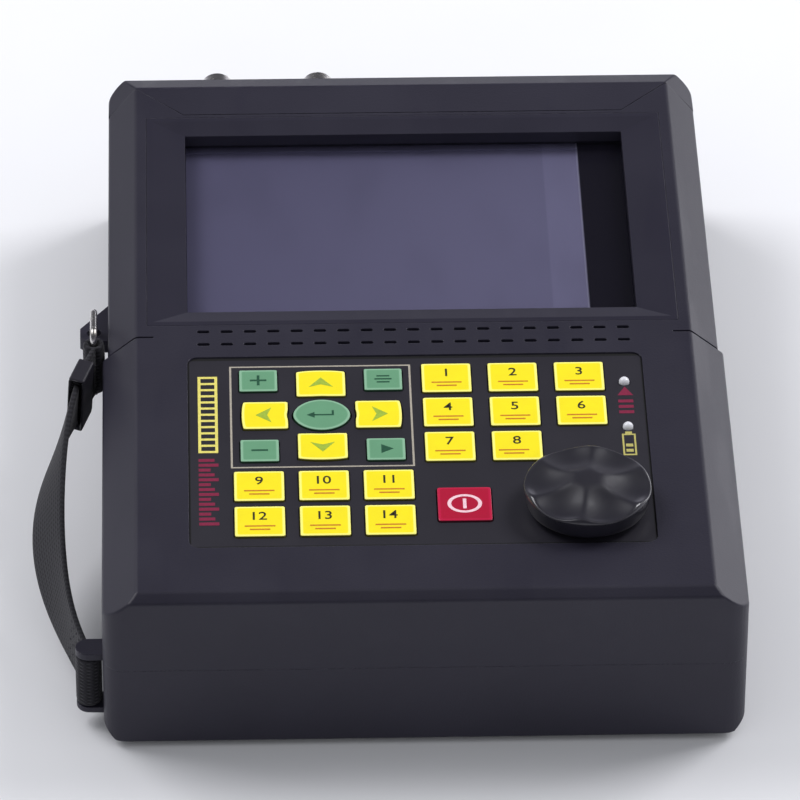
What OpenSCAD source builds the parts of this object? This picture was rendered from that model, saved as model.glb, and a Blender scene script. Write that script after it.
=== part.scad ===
// Hand-held ultrasonic flaw detector, lying on its back with the screen up.
// X runs to the right of the face, Y towards the connector end, Z out of the face.
// It is drawn with X 0 in the middle of the housing and Y 0 at the front wall. Then every piece is
// moved so that the origin lies on the rest plane, under the middle of the whole object's box.

/* [Housing] */
// Thickness of the housing without its feet
body_t = 50; // [49:0.5:54]
// Height of the rear shell, up to the parting plane
rear_t = 25; // [24:0.5:26]
// Thickness of the shell walls
wall = 2.8; // [2.4:0.1:3.2]
// Width of the flat rim beside the keypad panel
rim_w = 14.5; // [13:0.5:18]
// Width of the sloped shoulder on each side
shoulder_w = 9.5; // [8:0.5:11]
// Height of the sloped shoulder
shoulder_h = 8; // [6:0.5:10]
// How far the screen section stands in from the keypad section on each side
section_step = 1.5; // [1:0.1:2]
// Radius of the upright corners
corner_r = 6; // [4:0.5:8]
// Length of the bevel along the front edge
front_bevel = 3; // [2:0.25:4]
// Length of the slope at the connector end
end_slope = 8.5; // [7:0.5:10]
// Drop of the slope at the connector end
end_drop = 3; // [2:0.25:4]
// Face between the front edge and the keypad panel
front_margin = 22.2; // [21:0.2:26]
// Band between the keypad panel and the screen surround
band_l = 15.2; // [14.8:0.2:18]
// Length of the end cap on the face
cap_l = 22.6; // [22:0.2:26]
// Gap at the seam of the end cap
seam_gap = 0.3; // [0.2:0.05:0.5]

/* [Screen] */
// Width of the clear window
window_w = 128; // [124:1:129]
// Length of the clear window
window_l = 87; // [86:0.5:92]
// Width of the sloped strip beside the window
slope_side = 9.5; // [8:0.5:10]
// Length of the sloped strip above and below the window
slope_end = 6; // [5:0.5:8]
// Drop of the sloped strip
slope_drop = 1.2; // [0.8:0.1:1.8]
// Depth of the window below the face
window_depth = 4.7; // [4:0.1:5]
// Thickness of the window
window_t = 2; // [1.5:0.1:2.2]
// Flat rim of the surround
surround_rim = 1.8; // [1.4:0.1:2.2]
// Thickness of the surround's flange
surround_t = 1.8; // [1.6:0.1:2]
// Frame of the display module around the window, on every side
display_frame = 6; // [5:0.5:7]
// Thickness of the display module
display_t = 8; // [7:0.5:8.5]

/* [Keypad] */
// Width of a function key
key_w = 14; // [13.4:0.1:14.2]
// Length of a function key
key_l = 13.4; // [13:0.1:13.6]
// Gap between keys side by side, left block
key_gap_left = 3.9; // [3.6:0.1:4.2]
// Gap between keys side by side, right block
key_gap_right = 4.65; // [4.2:0.05:5]
// Gap between rows of keys
row_gap = 2.4; // [2.2:0.1:2.8]
// Gap between the upper and the lower rows
tier_gap = 3.6; // [3.2:0.1:4.2]
// Gap between the left and the right blocks
block_gap = 3.4; // [3.2:0.1:4]
// Panel left of the keys
pad_left = 12.4; // [11:0.2:14]
// Panel right of the keys
pad_right = 11.1; // [10.5:0.1:13]
// Panel above the keys
pad_top = 4.4; // [4:0.1:6]
// Panel below the keys
pad_bottom = 4.6; // [4:0.1:6]
// Travel of a key
key_travel = 0.4; // [0.3:0.05:0.5]
// How far the keys stand above the panel
key_proud = 0.6; // [0.4:0.05:0.8]
// Depth of the panel's pocket in the face
pad_depth = 1.6; // [1.4:0.1:1.8]
// Thickness of the panel
overlay_t = 1.2; // [1:0.05:1.3]
// Width of an arrow key that points up or down
arrow_w = 13.9; // [13.4:0.1:14.2]
// Length of an arrow key that points up or down
arrow_l = 12.3; // [12:0.1:12.6]
// Width of an arrow key that points sideways
side_arrow_w = 13.2; // [12.8:0.1:13.4]
// Length of an arrow key that points sideways
side_arrow_l = 12.5; // [12:0.1:12.8]
// Width of a corner key
corner_key_w = 10.8; // [10:0.1:11]
// Length of a corner key
corner_key_l = 10; // [9.4:0.1:10.2]
// Width of the oval centre key
oval_w = 16.6; // [16:0.1:16.8]
// Length of the oval centre key
oval_l = 14.1; // [13.6:0.1:14.3]
// Side of the power key
power_w = 15; // [14:0.2:15.4]

/* [Knob] */
// Diameter of the knob
knob_d = 35; // [32:0.5:36]
// Height of the knob
knob_h = 8; // [7.75:0.25:9]
// Gap between the knob and the face
knob_gap = 1.5; // [1.3:0.1:2]
// Push travel of the knob
push_travel = 0.5; // [0.3:0.05:0.6]
// Diameter of the encoder shaft
shaft_d = 6; // [5.8:0.1:6.2]

/* [Connectors] */
// Diameter of the bayonet barrel of a probe socket
barrel_d = 9.6; // [9.4:0.1:9.8]
// Length of the bayonet barrel
barrel_l = 9.5; // [9:0.25:11]
// Distance between the two probe sockets
socket_pitch = 30; // [28:1:32]
// Diameter of the charger socket's opening
charger_d = 5.7; // [5.5:0.1:6]

/* [Back] */
// Height of the feet below the rear shell
foot_h = 2; // [1.5:0.25:3]
// Diameter of the feet
foot_d = 12; // [10:0.5:13]
// Width of the folding stand
stand_w = 118; // [112:1:119]
// Length of the folding stand from its pivot to its free end
stand_l = 86; // [80:1:88]
// Thickness of the folding stand
stand_t = 3.6; // [3:0.1:4]
// Width of the battery pack
pack_w = 92; // [88:1:94]
// Length of the battery pack
pack_l = 70; // [66:1:71]

/* [Strap] */
// Width of the strap webbing
strap_w = 16; // [14:0.5:18]
// Thickness of the strap webbing
strap_t = 1.8; // [1.4:0.1:2.2]
// How far the strap bows out from its ends
strap_bow = 12; // [9:0.5:14]

/* [Hidden] */
$fn = 48;
// Fits and overruns
overrun = 1;
fit = 0.2;
run_fit = 0.05;
key_fit = 0.25;

// Heights through the thickness
rear_z = foot_h;
parting_z = rear_z + rear_t;
face_z = rear_z + body_t;
face_in_z = face_z - wall;
shoulder_z = face_z - shoulder_h;
front_drop = front_bevel * 2 / 3;

// Keypad blocks
left_block_w = 3 * key_w + 2 * key_gap_left;
right_block_w = 3 * key_w + 2 * key_gap_right;
upper_rows_l = 3 * key_l + 2 * row_gap;
lower_rows_l = 2 * key_l + row_gap;
pad_w = pad_left + left_block_w + block_gap + right_block_w + pad_right;
pad_l = pad_bottom + lower_rows_l + tier_gap + upper_rows_l + pad_top;

// Plan of the housing
surround_w = window_w + 2 * (slope_side + surround_rim);
surround_l = window_l + 2 * (slope_end + surround_rim);
cap_strip = 1.7;
surround_side = 3;
body_w = max(pad_w + 2 * rim_w, surround_w + 2 * surround_side) + 2 * shoulder_w;
body_l = front_margin + pad_l + band_l + surround_l + cap_strip + cap_l;
half_w = body_w / 2;
screen_half = half_w - section_step;
cavity_half = screen_half - wall;
flat_half = half_w - shoulder_w;
pad_y0 = front_margin;
pad_y1 = pad_y0 + pad_l;
surround_y0 = pad_y1 + band_l;
surround_y1 = surround_y0 + surround_l;
window_y0 = surround_y0 + surround_rim + slope_end;
window_y1 = window_y0 + window_l;
window_cy = (window_y0 + window_y1) / 2;
step_y = pad_y1 + band_l * 2 / 3;

// Seam of the end cap: foot, peak and side
cap_y = surround_y1 + cap_strip;
cap_foot_half = flat_half - (body_l - end_slope - cap_y);
cap_peak_y = body_l - end_slope;
cap_side_y = cap_peak_y - shoulder_w * 3 / 4;

// Screen stack
window_z = face_z - window_depth;
window_low_z = window_z - window_t;
window_lap = 2;
lip_z = face_z - slope_drop;
skirt_in = surround_rim * 1.2;
ledge_in = surround_rim * 0.9;
display_gap = 0.4;
display_w = window_w + 2 * display_frame;
display_l = window_l + 2 * display_frame;
display_y0 = window_y0 - display_frame;
display_top_z = window_low_z - display_gap;
display_low_z = display_top_z - display_t;
ear_t = 1.6;
ear_r = 3.2;
display_post_x = flat_half + 0.5 * surround_rim;
display_post_share = 0.36;
view_share = 0.9;
display_post_r = 2.6;

// Rows and columns of keys
row_y1 = pad_y1 - pad_top - key_l / 2;
row_pitch = key_l + row_gap;
row_y4 = pad_y0 + pad_bottom + lower_rows_l - key_l / 2;
left_x1 = -pad_w / 2 + pad_left + key_w / 2;
right_x1 = -pad_w / 2 + pad_left + left_block_w + block_gap + key_w / 2;
left_pitch = key_w + key_gap_left;
right_pitch = key_w + key_gap_right;
// Column and row of each function key: the first eight are in the right block
function_key_cells = [
    [0, 0], [1, 0], [2, 0], [0, 1], [1, 1], [2, 1], [0, 2], [1, 2],
    [0, 0], [1, 0], [2, 0], [0, 1], [1, 1], [2, 1]
];
right_key_count = 8;
function_key_count = len(function_key_cells);
key_r = 1;

// Direction block
nav_x = left_x1 + left_pitch;
nav_y = row_y1 - row_pitch - row_gap / 4;
oval_gap = 1.4;
oval_tip_share = 0.985;
oval_tip_r = oval_w / 2 * oval_tip_share;
nav_up = oval_l / 2 + oval_gap + arrow_l / 2;
nav_side = oval_w / 2 + oval_gap + side_arrow_w / 2 - oval_gap / 4;
corner_x = left_pitch - key_gap_left / 10;
corner_y = row_pitch + row_gap / 8;
arrow_bulge_r = arrow_w * 2.2;

// Knob, encoder and lamps
knob_x = right_x1 + 2 * right_pitch - key_gap_right / 8;
knob_y = pad_y0 + knob_d / 2 - row_gap / 4;
knob_moat = 3.5;
knob_low_z = face_z + knob_gap;
knob_top_z = knob_low_z + knob_h;
knob_wall = 2;
knob_edge = 1.8;
knob_taper = 0.6;
knob_drop = 1.4;
knob_rim_z = knob_top_z - knob_drop;
knob_crown_r = (pow(knob_d / 2 - knob_edge, 2) + pow(knob_drop, 2)) / (2 * knob_drop);
// Finger hollows: round bowls cut in the top of the knob, leaving ridges between them
finger_count = 6;
finger_turn = 22;
finger_r = 16;
finger_depth = 3.2;
finger_out = 14;
knob_roof = finger_depth + 0.8 * knob_wall;
hub_d = 2 * shaft_d;
power_x = right_x1 + (key_w - key_gap_right) / 3;
power_drop_share = 0.58;
power_y = row_y4 - row_pitch * power_drop_share;
lamp_x = pad_w / 2 - pad_right / 2;
lamp_d = 3;
lamp_set_share = 0.15;
lamp_high_y = row_y1 - row_pitch * lamp_set_share;
lamp_drop_share = 1.32;
lamp_low_y = lamp_high_y - row_pitch * lamp_drop_share;

// Keypad stack
pad_floor_z = face_z - pad_depth;
overlay_z = pad_floor_z + overlay_t;
key_top_z = overlay_z + key_proud;
flange_t = 0.8;
flange_gap = 0.3;
flange_over = 0.5;
flange_top_z = face_in_z - flange_gap;
flange_low_z = flange_top_z - flange_t;
board_drop = 3;
pad_board_z = face_in_z - board_drop;
board_t = 1.6;
dome_h = 0.6;
dome_d = 8;
stem_d = 4;
stem_gap = 0.08;
stem_low_z = pad_board_z + dome_h + key_travel + stem_gap;
pad_board_in = 2;

// Encoder stack
bush_wall = 0.6;
bush_d = shaft_d + 2 * bush_wall;
bush_rise = 2.4;
bush_top_z = pad_floor_z + bush_rise;
encoder_w = 14;
encoder_h = 6.5;
encoder_top_z = pad_board_z - board_t;
encoder_low_z = encoder_top_z - encoder_h;
collar_d = 1.3 * shaft_d;
collar_h = 1.2;
collar_gap = 0.8;
chamber_fit = 0.15;
plunger_d = 4.2;
plunger_h = 1.4;
encoder_floor = 0.8;
plunger_low_z = encoder_low_z + encoder_floor + push_travel;
shaft_low_z = plunger_low_z + plunger_h;
nut_w = 11;
nut_t = 1.8;
shaft_top_gap = 2;
shaft_top_z = knob_top_z - shaft_top_gap;
flat_share = 0.25;

// Boards, posts and screws
main_board_rise = 3;
main_board_z = parting_z + main_board_rise;
main_board_in = 9.5;
main_board_y0 = 18;
main_board_end = 30;
post_r = 2.4;
pilot_r = 0.9;
small_shank_r = 0.85;
small_head_r = 1.9;
small_head_h = 1.4;
small_bite = 2.6;
pad_post_in = 3.6;
lamp_post_gap = 0.5;
pillar_r = 3;
boss_r = 3.6;
case_shank_r = 1.5;
case_hole_r = 1.7;
case_head_r = 2.8;
case_head_h = 2.4;
case_head_in = 0.6;
case_bite = 9;
boss_in = 9;
boss_front_y = 9;
boss_mid_y = pad_y1 + band_l * 0.8;
boss_end_in = 10;
boss_end_y = body_l - boss_end_in;
boss_end_x = flat_half - boss_in - case_shank_r;
case_screw_spots = [
    [half_w - boss_in, boss_front_y], [half_w - boss_in, boss_mid_y], [boss_end_x, boss_end_y]
];
pillar_side_in = 15;
pillar_front_in = 8;
pillar_end_in = 6;
pillar_x = cavity_half - pillar_side_in;
pillar_spots = [
    [pillar_x, main_board_y0 + pillar_front_in], [pillar_x, boss_mid_y],
    [pillar_x, body_l - main_board_end - pillar_end_in]
];

// Sound slots and the groove between the sections
slot_pitch = 6.6;
slot_w = 3.6;
slot_l = 1.3;
slot_row_shares = [0.4, 0.79];
slot_round_share = 0.49;
slot_count = floor(pad_w / slot_pitch);
groove_w = 0.7;
groove_depth = 0.6;

// Sealing ring
seal_w = 1.3;
seal_h = 1.6;
seal_in = wall / 2 - seal_w / 2;

// Battery bay
pack_t = 18.6;
pack_fit = 0.4;
cover_t = 2;
cover_ledge = 8;
bay_w = pack_w + 2 * pack_fit;
bay_l = pack_l + 2 * pack_fit;
bay_depth = cover_t + pack_t + 2 * fit;
bay_wall = 2;
cover_w = bay_w + 2 * cover_ledge;
cover_l = bay_l + 2 * cover_ledge;
bay_gap = 8;
bay_y = boss_front_y + cover_l / 2 + bay_gap;
ledge_h = 7;
cover_screw_r = 1.3;
cover_head_r = 2.4;
contact_w = 5;
contact_l = 1.2;
contact_pitch = 10;

// Folding stand
tray_fit = 0.6;
tray_w = stand_w + 2 * tray_fit;
tray_depth = 6.5;
tray_wall = 2;
knuckle_r = 2.8;
stand_z = rear_z + knuckle_r + 0.6 * tray_fit;
stand_in = 46;
stand_y = body_l - stand_in;
stand_low_z = rear_z + 0.9 * tray_fit + fit;
stand_pin_r = 2;
stand_pin_l = 3;
hinge_block_l = 10;
hinge_block_w = 5.5;
tray_end_gap = 1.6;
tray_y0 = stand_y - stand_l - tray_end_gap;
tray_y1 = stand_y + knuckle_r + tray_fit;
finger_w = 26;
finger_l = 9;
stand_open_in = 14;

// Feet
foot_sink = 1;
foot_side_in = 16;
foot_end_in = 24;
foot_x = half_w - foot_side_in;
foot_front_y = 21;
foot_end_y = body_l - foot_end_in;

// Connector end
socket_rise = 11;
socket_z = parting_z + socket_rise;
socket_x = -flat_half / 2;
flange_r = 7;
flange_l = 2.5;
thread_r = 4.7;
thread_l = 9;
socket_bore_r = 4.1;
lug_r = 1;
lug_span = 11;
lug_back = 5;
socket_nut_w = 14;
socket_nut_t = 2.4;
post_core_r = 2.4;
core_hole_r = 0.6;
core_back = 2;
charger_x = flat_half * 0.6;
charger_body_r = 5.4;
charger_lip_r = 6.6;
charger_lip_t = 1.5;
charger_l = 14;
charger_pin_r = 1.05;
port_x = flat_half * 0.22;
port_w = 12;
port_h = 10.8;
port_l = 16;
port_skin = 0.8;
port_tongue_w = 5.6;
port_tongue_h = 3.2;
port_depth = 9;
port_lip = 0.6;

// Sounder and ribbon
sounder_r = 7;
sounder_h = 5;
sounder_x = pad_w / 4;
sounder_y = pad_y1 + band_l / 2;
ribbon_w = 30;
ribbon_t = 0.4;
ribbon_out = 3;
ribbon_foot = 5;
ribbon_reach = 9.8;
ribbon_y0 = display_y0 - ribbon_reach;

// Strap fittings
eye_drop = 13;
eye_z = face_z - eye_drop;
eye_t = 4;
eye_out = 8;
eye_base = 19;
eye_y = window_y0 + eye_t;
eye_hole_r = 2;
ring_rod_r = 1;
ring_l = 13;
ring_spare = 5;
ring_h = strap_w + ring_spare;
ring_x = screen_half + eye_out / 2;
ring_corner_r = 2.5;
bar_r = 1.5;
bar_out = 4;
bar_rise = 13;
bar_x = half_w + bar_out;
bar_y = 13;
bar_z = rear_z + bar_rise;
bar_ear_t = 2;
bar_ear_w = 7;
strap_gap = 0.3;
strap_rings = 26;
strap_tilt = 32;
strap_end_y = eye_y - ring_l - ring_rod_r - strap_gap - strap_t / 2;
strap_start_y = bar_y + bar_r + strap_gap + strap_t / 2;
buckle_share = 0.9;
buckle_l = 9;
buckle_t = 4.6;
buckle_side = 1.6;

// Rectangle with round corners, centred
module round_rect(w, l, r) {
    square([w - 2 * r, l], center = true);
    square([w, l - 2 * r], center = true);
    for (x = [-1, 1], y = [-1, 1]) translate([x * (w / 2 - r), y * (l / 2 - r)]) circle(r);
}

// Block over the region x 0 to w each side of the middle, y0 to y1, z0 to z1
module slab(w, y0, y1, z0, z1) {
    translate([-w / 2, y0, z0]) cube([w, y1 - y0, z1 - z0]);
}

module upright(r, z0, z1) {
    translate([0, 0, z0]) cylinder(r = r, h = z1 - z0);
}

module both_sides() {
    children();
    mirror([1, 0, 0]) children();
}

// Section across the housing, drawn in by t, with side walls at half width w
module across_outline(w, t) {
    slant = sqrt(shoulder_w * shoulder_w + shoulder_h * shoulder_h);
    wide_z = shoulder_z - t * (slant - shoulder_h) / shoulder_w + (half_w - t - w) * shoulder_h / shoulder_w;
    flat_x = flat_half - t * (slant - shoulder_w) / shoulder_h;
    low = rear_z + t;
    edge = corner_r / 2;
    polygon([
        [-w, low + edge], [-w + edge, low], [w - edge, low], [w, low + edge],
        [w, wide_z], [flat_x, face_z - t], [-flat_x, face_z - t], [-w, wide_z]
    ]);
}

// Section along the housing, drawn in by t
module along_outline(t) {
    polygon([
        [t, rear_z + t], [body_l - t, rear_z + t], [body_l - t, face_z - end_drop - t],
        [body_l - end_slope - t / 2, face_z - t], [front_bevel + t / 2, face_z - t],
        [t, face_z - front_drop - t]
    ]);
}

// Plan of the housing: the screen section is narrower than the keypad section
module plan_outline(t) {
    translate([0, body_l / 2]) round_rect(2 * (screen_half - t), body_l - 2 * t, corner_r - t / 2);
    intersection() {
        translate([0, body_l / 2]) round_rect(2 * (half_w - t), body_l - 2 * t, corner_r - t / 2);
        translate([-half_w, 0]) square([body_w, step_y - t]);
    }
}

module run_across(w, t) {
    translate([0, body_l + overrun, 0]) rotate([90, 0, 0])
        linear_extrude(body_l + 2 * overrun) across_outline(w, t);
}

module run_along(t) {
    translate([-half_w - overrun, 0, 0]) rotate([90, 0, 90])
        linear_extrude(body_w + 2 * overrun) along_outline(t);
}

// Outer form of the housing, drawn in by t
module housing(t) {
    intersection() {
        run_across(half_w - t, t);
        run_along(t);
        linear_extrude(face_z + overrun) plan_outline(t);
    }
}

// Space inside the shells: one width all along, so the seal lies on one plane
module cavity() {
    intersection() {
        run_across(cavity_half, wall);
        run_along(wall);
        linear_extrude(face_z) translate([0, body_l / 2])
            round_rect(2 * cavity_half, body_l - 2 * wall, corner_r - wall / 2);
    }
}

// Everything beyond the zigzag seam of the end cap, moved towards the front by back
module cap_region(back) {
    far_y = body_l + overrun;
    far_x = half_w + overrun;
    translate([0, 0, parting_z]) linear_extrude(body_t) polygon([
        [-far_x, cap_side_y - back], [-flat_half, cap_peak_y - back],
        [-cap_foot_half, cap_y - back], [cap_foot_half, cap_y - back],
        [flat_half, cap_peak_y - back], [far_x, cap_side_y - back],
        [far_x, far_y], [-far_x, far_y]
    ]);
}

module above_parting() {
    slab(body_w + 2 * overrun, -overrun, body_l + overrun, parting_z, face_z + overrun);
}

module below_parting() {
    slab(body_w + 2 * overrun, -overrun, body_l + overrun, 0, parting_z);
}

// Groove for the sealing ring, shared by both shells
module seal_path(extra) {
    low = parting_z - seal_h / 2 - extra;
    mid_half = cavity_half + wall / 2;
    outer_l = body_l - wall + seal_w + 2 * extra;
    inner_l = body_l - wall - seal_w - 2 * extra;
    translate([0, body_l / 2, low]) linear_extrude(seal_h + 2 * extra) difference() {
        round_rect(2 * mid_half + seal_w + 2 * extra, outer_l, corner_r - seal_in);
        round_rect(2 * mid_half - seal_w - 2 * extra, inner_l, corner_r - seal_in - seal_w);
    }
}

module shell_seal() {
    color("dimgray") seal_path(0);
}

// Keys: outlines in plan
module plain_outline(w, l, grow) {
    round_rect(w + 2 * grow, l + 2 * grow, key_r + grow / 2);
}

// Oval made of two crossing circles, its tips rounded by a third
module oval_outline(grow) {
    a = oval_w / 2 + grow;
    b = oval_l / 2 + grow;
    r = (a * a + b * b) / (2 * b);
    intersection() {
        translate([0, b - r]) circle(r, $fn = 96);
        translate([0, r - b]) circle(r, $fn = 96);
        circle(oval_tip_r + grow, $fn = 96);
    }
}

// Arrow key that points up: its outer edge bulges and its inner edge follows the oval
module arrow_outline(w, l, reach, oval_turn, grow) {
    difference() {
        intersection() {
            translate([0, reach]) round_rect(w + 2 * grow, l + 2 * grow, key_r + grow / 2);
            translate([0, reach + l / 2 + grow - arrow_bulge_r]) circle(arrow_bulge_r, $fn = 96);
        }
        rotate(oval_turn) oval_outline(oval_gap - grow);
    }
}

module key_spot(i) {
    cell = function_key_cells[i];
    right = i < right_key_count;
    x = right ? right_x1 + cell[0] * right_pitch : left_x1 + cell[0] * left_pitch;
    y = right ? row_y1 - cell[1] * row_pitch : row_y4 - cell[1] * row_pitch;
    translate([x, y]) children();
}

// The last key beside the knob has its corner cut round the knob
module function_key_outline(i, grow) {
    difference() {
        key_spot(i) plain_outline(key_w, key_l, grow);
        translate([knob_x, knob_y]) circle(knob_d / 2 + knob_moat - grow, $fn = 96);
    }
}

module corner_key_outline(i, grow) {
    side = i % 2 == 0 ? -1 : 1;
    rise = i < 2 ? 1 : -1;
    translate([nav_x + side * corner_x, nav_y + rise * corner_y])
        plain_outline(corner_key_w, corner_key_l, grow);
}

module arrow_key_outline(turn, grow) {
    sideways = turn % 180 != 0;
    w = sideways ? side_arrow_l : arrow_w;
    l = sideways ? side_arrow_w : arrow_l;
    reach = sideways ? nav_side : nav_up;
    translate([nav_x, nav_y]) rotate(turn) arrow_outline(w, l, reach, -turn, grow);
}

module centre_key_outline(grow) {
    translate([nav_x, nav_y]) oval_outline(grow);
}

module power_key_outline(grow) {
    translate([power_x, power_y]) plain_outline(power_w, power_w, grow);
}

// Windows for all the keys
module key_windows(grow) {
    for (i = [0:function_key_count - 1]) function_key_outline(i, grow);
    for (i = [0:3]) corner_key_outline(i, grow);
    for (turn = [0:90:270]) arrow_key_outline(turn, grow);
    centre_key_outline(grow);
    power_key_outline(grow);
}

// Places where the keys press: x and y of every key
function key_place(i) =
    i < function_key_count
    ? (i < right_key_count
       ? [right_x1 + function_key_cells[i][0] * right_pitch, row_y1 - function_key_cells[i][1] * row_pitch]
       : [left_x1 + function_key_cells[i][0] * left_pitch, row_y4 - function_key_cells[i][1] * row_pitch])
    : i < function_key_count + 4
      ? [nav_x + (i % 2 == 0 ? -1 : 1) * corner_x,
         nav_y + (i - function_key_count < 2 ? 1 : -1) * corner_y]
      : [[nav_x, nav_y + nav_up], [nav_x, nav_y - nav_up], [nav_x - nav_side, nav_y],
         [nav_x + nav_side, nav_y], [nav_x, nav_y], [power_x, power_y]][i - function_key_count - 4];
key_count = function_key_count + 10;

// A key: cap through the windows, flange under the shell and a stem over its dome
module key_body(place) {
    translate([0, 0, flange_top_z]) linear_extrude(key_top_z - flange_top_z) children(0);
    translate([0, 0, flange_low_z]) linear_extrude(flange_t) children(1);
    translate(place) upright(stem_d / 2, stem_low_z, flange_low_z);
}

module function_key(i) {
    color("gold") key_body(key_place(i)) {
        function_key_outline(i, 0);
        function_key_outline(i, flange_over);
    }
}

module corner_key(i) {
    color("mediumseagreen") key_body(key_place(function_key_count + i)) {
        corner_key_outline(i, 0);
        corner_key_outline(i, flange_over);
    }
}

module arrow_key(turn, k) {
    color("gold") key_body(key_place(function_key_count + 4 + k)) {
        arrow_key_outline(turn, 0);
        arrow_key_outline(turn, flange_over);
    }
}

module centre_key() {
    color("mediumseagreen") key_body(key_place(function_key_count + 8)) {
        centre_key_outline(0);
        centre_key_outline(flange_over);
    }
}

module power_key() {
    color("crimson") key_body(key_place(function_key_count + 9)) {
        power_key_outline(0);
        power_key_outline(flange_over);
    }
}

// Holes that lamps and encoder need in every layer of the keypad
module control_holes(lamp_r, knob_r) {
    for (y = [lamp_high_y, lamp_low_y]) translate([lamp_x, y]) circle(lamp_r);
    translate([knob_x, knob_y]) circle(knob_r);
}

module pad_outline(grow) {
    translate([0, (pad_y0 + pad_y1) / 2]) round_rect(pad_w + 2 * grow, pad_l + 2 * grow, 3 * key_r + grow);
}

module keypad_overlay() {
    color([0.2, 0.2, 0.22]) translate([0, 0, pad_floor_z]) linear_extrude(overlay_t) difference() {
        pad_outline(-fit / 2);
        key_windows(key_fit);
        control_holes(lamp_d / 2 + fit, nut_w / sqrt(3) + fit);
    }
}

// Spots of the posts that carry the keypad board: the one by the upper lamp stands clear of it
lamp_post_y = min(pad_y1 - pad_post_in / 2, lamp_high_y + lamp_d / 2 + post_r + 3 * lamp_post_gap);
pad_post_spots = [
    [-pad_w / 2 + pad_post_in, pad_y0 + pad_post_in], [-pad_w / 2 + pad_post_in, pad_y1 - pad_post_in],
    [pad_w / 2 - pad_post_in, pad_y0 + pad_post_in],
    [pad_w / 2 - pad_post_in, lamp_post_y]
];
display_post_spots = [
    for (x = [-1, 1], y = [-1, 1]) [x * display_post_x, window_cy + y * display_post_share * display_l]
];

module front_posts() {
    for (p = pad_post_spots) translate(p) upright(post_r, pad_board_z, face_in_z + overrun / 2);
    for (p = display_post_spots) translate(p)
        upright(display_post_r, display_top_z, face_in_z + overrun / 2);
}

module front_post_pilots() {
    for (p = pad_post_spots) translate(p)
        upright(pilot_r, pad_board_z - overrun, pad_board_z + small_bite + fit);
    for (p = display_post_spots) translate(p)
        upright(pilot_r, display_top_z - overrun, display_top_z + small_bite + fit);
}

// Bosses that the case screws bite into, above the parting plane
module screw_bosses(spots) {
    both_sides() for (p = spots) translate(p) upright(boss_r, parting_z, face_z);
}

module screw_pilots(spots) {
    both_sides() for (p = spots) translate(p)
        upright(case_shank_r + run_fit, parting_z - overrun, parting_z + case_bite + overrun);
}

module surround_opening() {
    mid = (surround_y0 + surround_y1) / 2;
    translate([0, mid, face_z - surround_t]) linear_extrude(surround_t + overrun)
        square([surround_w + fit, surround_l + fit], center = true);
    translate([0, mid, face_in_z - overrun]) linear_extrude(wall + 2 * overrun)
        square([surround_w - 2 * ledge_in, surround_l - 2 * ledge_in], center = true);
}

module sound_slots() {
    for (share = slot_row_shares) {
        y = pad_y1 + share * band_l;
        for (i = [0:slot_count - 1]) {
            x = (i - (slot_count - 1) / 2) * slot_pitch;
            translate([x, y, face_in_z - overrun]) linear_extrude(wall + 2 * overrun)
                round_rect(slot_w, slot_l, slot_l * slot_round_share);
        }
    }
}

module section_groove() {
    difference() {
        both_sides() translate([surround_w / 2 - surround_rim, step_y - groove_w, parting_z])
            cube([half_w, groove_w, body_t]);
        housing(groove_depth);
    }
}

// Eye for the strap ring on the left side wall
module strap_eye() {
    inner = screen_half - wall / 2;
    outer = screen_half + eye_out;
    difference() {
        translate([0, 0, eye_z - eye_t / 2]) linear_extrude(eye_t) difference() {
            polygon([
                [-inner, eye_y - eye_hole_r * 2], [-outer + eye_out / 4, eye_y - eye_hole_r * 2],
                [-outer, eye_y - eye_hole_r], [-outer, eye_y + eye_hole_r],
                [-inner, eye_y + eye_base - eye_hole_r * 2]
            ]);
            translate([-ring_x, eye_y]) circle(eye_hole_r);
        }
        cavity();
    }
}

module front_shell() {
    color([0.16, 0.16, 0.18]) difference() {
        union() {
            difference() {
                intersection() {
                    housing(0);
                    above_parting();
                }
                cap_region(seam_gap);
                cavity();
            }
            intersection() {
                housing(wall / 2);
                union() {
                    screw_bosses([case_screw_spots[0], case_screw_spots[1]]);
                    front_posts();
                }
            }
            strap_eye();
        }
        translate([0, 0, pad_floor_z]) linear_extrude(pad_depth + overrun) pad_outline(0);
        translate([0, 0, face_in_z - overrun]) linear_extrude(wall) {
            key_windows(key_fit);
            control_holes(lamp_d / 2 + fit, bush_d / 2 + fit);
        }
        screw_pilots([case_screw_spots[0], case_screw_spots[1]]);
        front_post_pilots();
        surround_opening();
        sound_slots();
        section_groove();
        seal_path(0);
    }
}

// Holes of the connector end
module end_holes() {
    for (k = [-1, 1]) translate([socket_x + k * socket_pitch / 2, body_l, socket_z]) rotate([90, 0, 0])
        cylinder(r = thread_r + run_fit, h = 2 * wall + overrun, center = true);
    translate([charger_x, body_l, socket_z]) rotate([90, 0, 0])
        cylinder(r = charger_body_r + run_fit, h = 2 * wall + overrun, center = true);
    translate([port_x - port_w / 2 - run_fit, body_l - wall - overrun, socket_z - port_h / 2 - run_fit])
        cube([port_w + 2 * run_fit, wall + 2 * overrun, port_h + 2 * run_fit]);
}

module top_cap() {
    color([0.2, 0.2, 0.22]) difference() {
        union() {
            difference() {
                intersection() {
                    housing(0);
                    cap_region(0);
                }
                cavity();
            }
            intersection() {
                housing(wall / 2);
                cap_region(-wall / 2);
                screw_bosses([case_screw_spots[2]]);
            }
        }
        screw_pilots([case_screw_spots[2]]);
        end_holes();
        seal_path(0);
    }
}

// Cut above the window from low to high, with a strip of width strip on each side that slopes up to the face
module slope_section(low, high, strip) {
    polygon([
        [low, lip_z], [high, lip_z], [high + strip, face_z], [high + strip, face_z + overrun],
        [low - strip, face_z + overrun], [low - strip, face_z]
    ]);
}

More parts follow.
